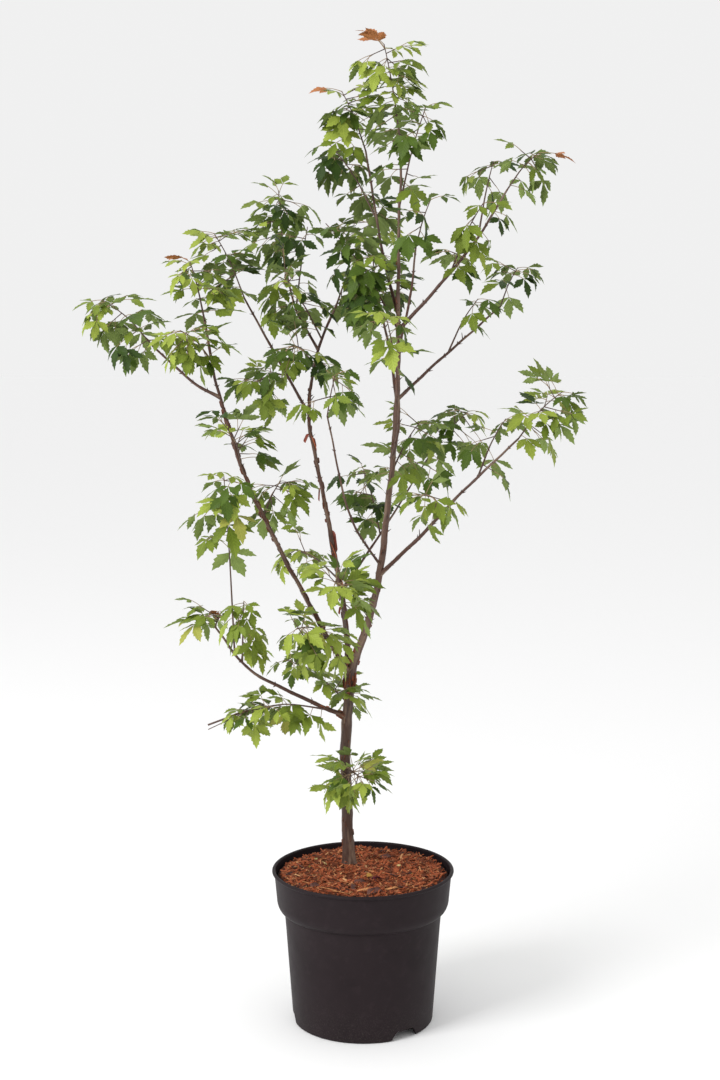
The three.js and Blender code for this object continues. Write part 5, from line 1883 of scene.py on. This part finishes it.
class MAPLE_OT_twigs(bpy.types.Operator):
    """Grows the masses' twigs and the leaf stalks from the limbs"""
    bl_idname = "maple.twigs"
    bl_label = "Twigs and leaf stalks"

    def execute(self, context):
        tree = maple_tree()
        bark = context.scene.maple_bark
        leaves = context.scene.maple_leaves
        twigs = Pile()
        stalks = Pile()
        for mass in tree.masses.values():
            line = Path(mass.path.points, TWIG_FINE_STEPS).points
            foot = min(float(mass.bearer.radius(mass.at)) * TWIG_SHARE, TWIG_RADIUS)
            radii = np.linspace(foot, TWIG_TIP_RADIUS, len(line))
            twigs.add_twig(line, radii, TWIG_SIDES, TWIG_PINCH)
            for leaf in mass.leaves:
                self.add_stalk(leaf, twigs, stalks)
        for name, share, end, radius in BARE_ENDS:
            start = tree.masses[name].path.at(share)
            twigs.add_twig(np.linspace(start, end, 6), [radius] * 6, TWIG_SIDES, TWIG_PINCH)
        material = mottled_material("twigs", shaded(bark.base, TWIG_TONE_SHARE), TWIG_FINISH)
        settle(twigs.mesh_object("twigs", material), "bark", *tree.masses)
        material = mottled_material("leaf_stalks", leaves.stalk, BUD_FINISH)
        settle(stalks.mesh_object("leaf_stalks", material), "leaf", *tree.masses)
        return {"FINISHED"}

    def add_stalk(self, leaf, twigs, stalks):
        start = leaf.root
        if leaf.carries_pair:
            split = leaf.root + (leaf.centre - leaf.root) * SHOOT_PAIR_PLACES[1]
            line = np.linspace(start, split, len(SHOOT_RADII))
            twigs.add_twig(line, SHOOT_RADII, SHOOT_SIDES, FINE_PINCH)
            start = split
        end = leaf.centre + leaf.forward * LEAFLETS[0][2]
        arch = STALK_ARCH * norm(end - start)
        shares = np.linspace(0, 1, len(STALK_RADII))
        line = start + (end - start) * shares[:, None]
        line[:, 2] += arch * 4 * shares * (1 - shares)
        stalks.add_twig(line, STALK_RADII, STALK_SIDES, FINE_PINCH)


class MAPLE_OT_leaves(bpy.types.Operator):
    """Puts three toothed leaflets on every stalk, each tint and side a piece of its own"""
    bl_idname = "maple.leaves"
    bl_label = "Leaves"

    def execute(self, context):
        sizes = context.scene.maple_leaves
        tree = maple_tree()
        random = SeededRandom(LEAF_SEED)
        along, across, rise, faces = leaflet_sheet()
        flat = np.stack([across + 0.5, along], axis=1)
        tops = {}
        undersides = {}
        for mass in tree.masses.values():
            for tint, leaf in zip(leaf_tints(mass, random), mass.leaves):
                top = tops.setdefault(tint, Pile())
                underside = undersides.setdefault(UNDERSIDES.get(tint, "underside"), Pile())
                for upper, lower in zip(*leaf_sheets(leaf, along, across, rise, random)):
                    top.add(upper, faces, flat=flat)
                    underside.add(lower, faces[:, ::-1], flat=flat)
        for tint, pile in tops.items():
            material = blade_material("leaf_" + tint, getattr(sizes, tint), UPPER_FINISH, UPPER_VEIN_SHARE)
            settle(pile.mesh_object("leaf_" + tint, material), "leaf", *tree.masses)
        for name, pile in undersides.items():
            tint, share = UNDERSIDE_TONES[name]
            colour = shaded(getattr(sizes, tint), share)
            material = blade_material("leaf_" + name, colour, LOWER_FINISH, LOWER_VEIN_SHARE)
            settle(pile.mesh_object("leaf_" + name, material), "leaf", *tree.masses)
        return {"FINISHED"}


class MAPLE_OT_stage(bpy.types.Operator):
    """Sets up the floor, the soft studio light and the camera"""
    bl_idname = "maple.stage"
    bl_label = "Stage"

    def execute(self, context):
        sizes = context.scene.maple_stage
        lights = [make_light(name, *light) for name, light in LIGHTS.items()]
        make_floor(sizes)
        make_camera(sizes)
        context.scene.world = make_world(sizes)
        context.scene.view_settings.view_transform = "Standard"
        return {"FINISHED"}


def make_world(sizes):
    """An even white sky that the camera sees in the tone of the floor under it, so no horizon shows."""
    world = bpy.data.worlds.new("studio")
    world.use_nodes = True
    wiring = Wiring(world.node_tree)
    sky = world.node_tree.nodes["Background"]
    sky.inputs["Strength"].default_value = sizes.sky
    seen = wiring.node("ShaderNodeLightPath").outputs["Is Camera Ray"]
    wiring.feed(sky.inputs["Color"], wiring.mix(seen, (1, 1, 1, 1), rgba(sizes.floor)))
    return world


def make_floor(sizes):
    made = bmesh.new()
    bmesh.ops.create_grid(made, x_segments=1, y_segments=1, size=FLOOR_REACH)
    mesh = finished_mesh("floor", made)
    material, _, shader = material_base("floor")
    shader.inputs["Base Color"].default_value = rgba(sizes.floor)
    set_gloss(shader, FLOOR_SPECULAR, FLOOR_ROUGHNESS)
    mesh.materials.append(material)
    return linked_object("floor", mesh)


def make_camera(sizes):
    data = bpy.data.cameras.new("camera")
    data.sensor_fit = "VERTICAL"
    data.sensor_height = SENSOR_HEIGHT
    data.lens = LENS
    data.clip_end = CAMERA_REACH
    camera = linked_object("camera", data)
    camera.location = sizes.camera_place
    camera.rotation_euler = (math.pi / 2 - sizes.camera_pitch, 0, 0)
    bpy.context.scene.camera = camera
    return camera


def make_light(name, place, size, power):
    data = bpy.data.lights.new(name, "AREA")
    data.shape = "SQUARE"
    data.size = size
    data.energy = power
    light = linked_object(name, data)
    light.location = place
    aim = Vector(LIGHT_AIM) - Vector(place)
    light.rotation_euler = aim.to_track_quat("-Z", "Y").to_euler()
    return light


def smooth_below(piece, degrees):
    """Keeps edges sharp where faces meet at a wider angle."""
    made = bmesh.new()
    made.from_mesh(piece.data)
    for edge in made.edges:
        edge.smooth = len(edge.link_faces) == 2 and edge.calc_face_angle(0) < math.radians(degrees)
    for face in made.faces:
        face.smooth = True
    made.to_mesh(piece.data)
    made.free()


class MAPLE_PT_panel(bpy.types.Panel):
    """Lists the pieces of the maple"""
    bl_idname = "MAPLE_PT_panel"
    bl_label = "Paperbark maple"
    bl_space_type = "VIEW_3D"
    bl_region_type = "UI"
    bl_category = "Maple"

    def draw(self, context):
        for operator in OPERATORS:
            self.layout.operator(operator.bl_idname)


OPERATORS = (MAPLE_OT_pot, MAPLE_OT_mulch, MAPLE_OT_bark, MAPLE_OT_peels, MAPLE_OT_buds, MAPLE_OT_twigs,
             MAPLE_OT_leaves, MAPLE_OT_stage)
SETTINGS = {"maple_pot": MaplePot, "maple_mulch": MapleMulch, "maple_bark": MapleBark,
            "maple_leaves": MapleLeaves, "maple_stage": MapleStage}


CLASSES = (*SETTINGS.values(), *OPERATORS, MAPLE_PT_panel)


def register():
    for one in CLASSES:
        bpy.utils.register_class(one)
    for name, group in SETTINGS.items():
        setattr(bpy.types.Scene, name, PointerProperty(type=group))


def unregister():
    for name in SETTINGS:
        delattr(bpy.types.Scene, name)
    for one in reversed(CLASSES):
        bpy.utils.unregister_class(one)


def main():
    register()
    bpy.ops.maple.pot()
    bpy.ops.maple.mulch()
    bpy.ops.maple.bark()
    bpy.ops.maple.peels()
    bpy.ops.maple.buds()
    bpy.ops.maple.twigs()
    bpy.ops.maple.leaves()
    bpy.ops.maple.stage()


if __name__ == "__main__":
    main()
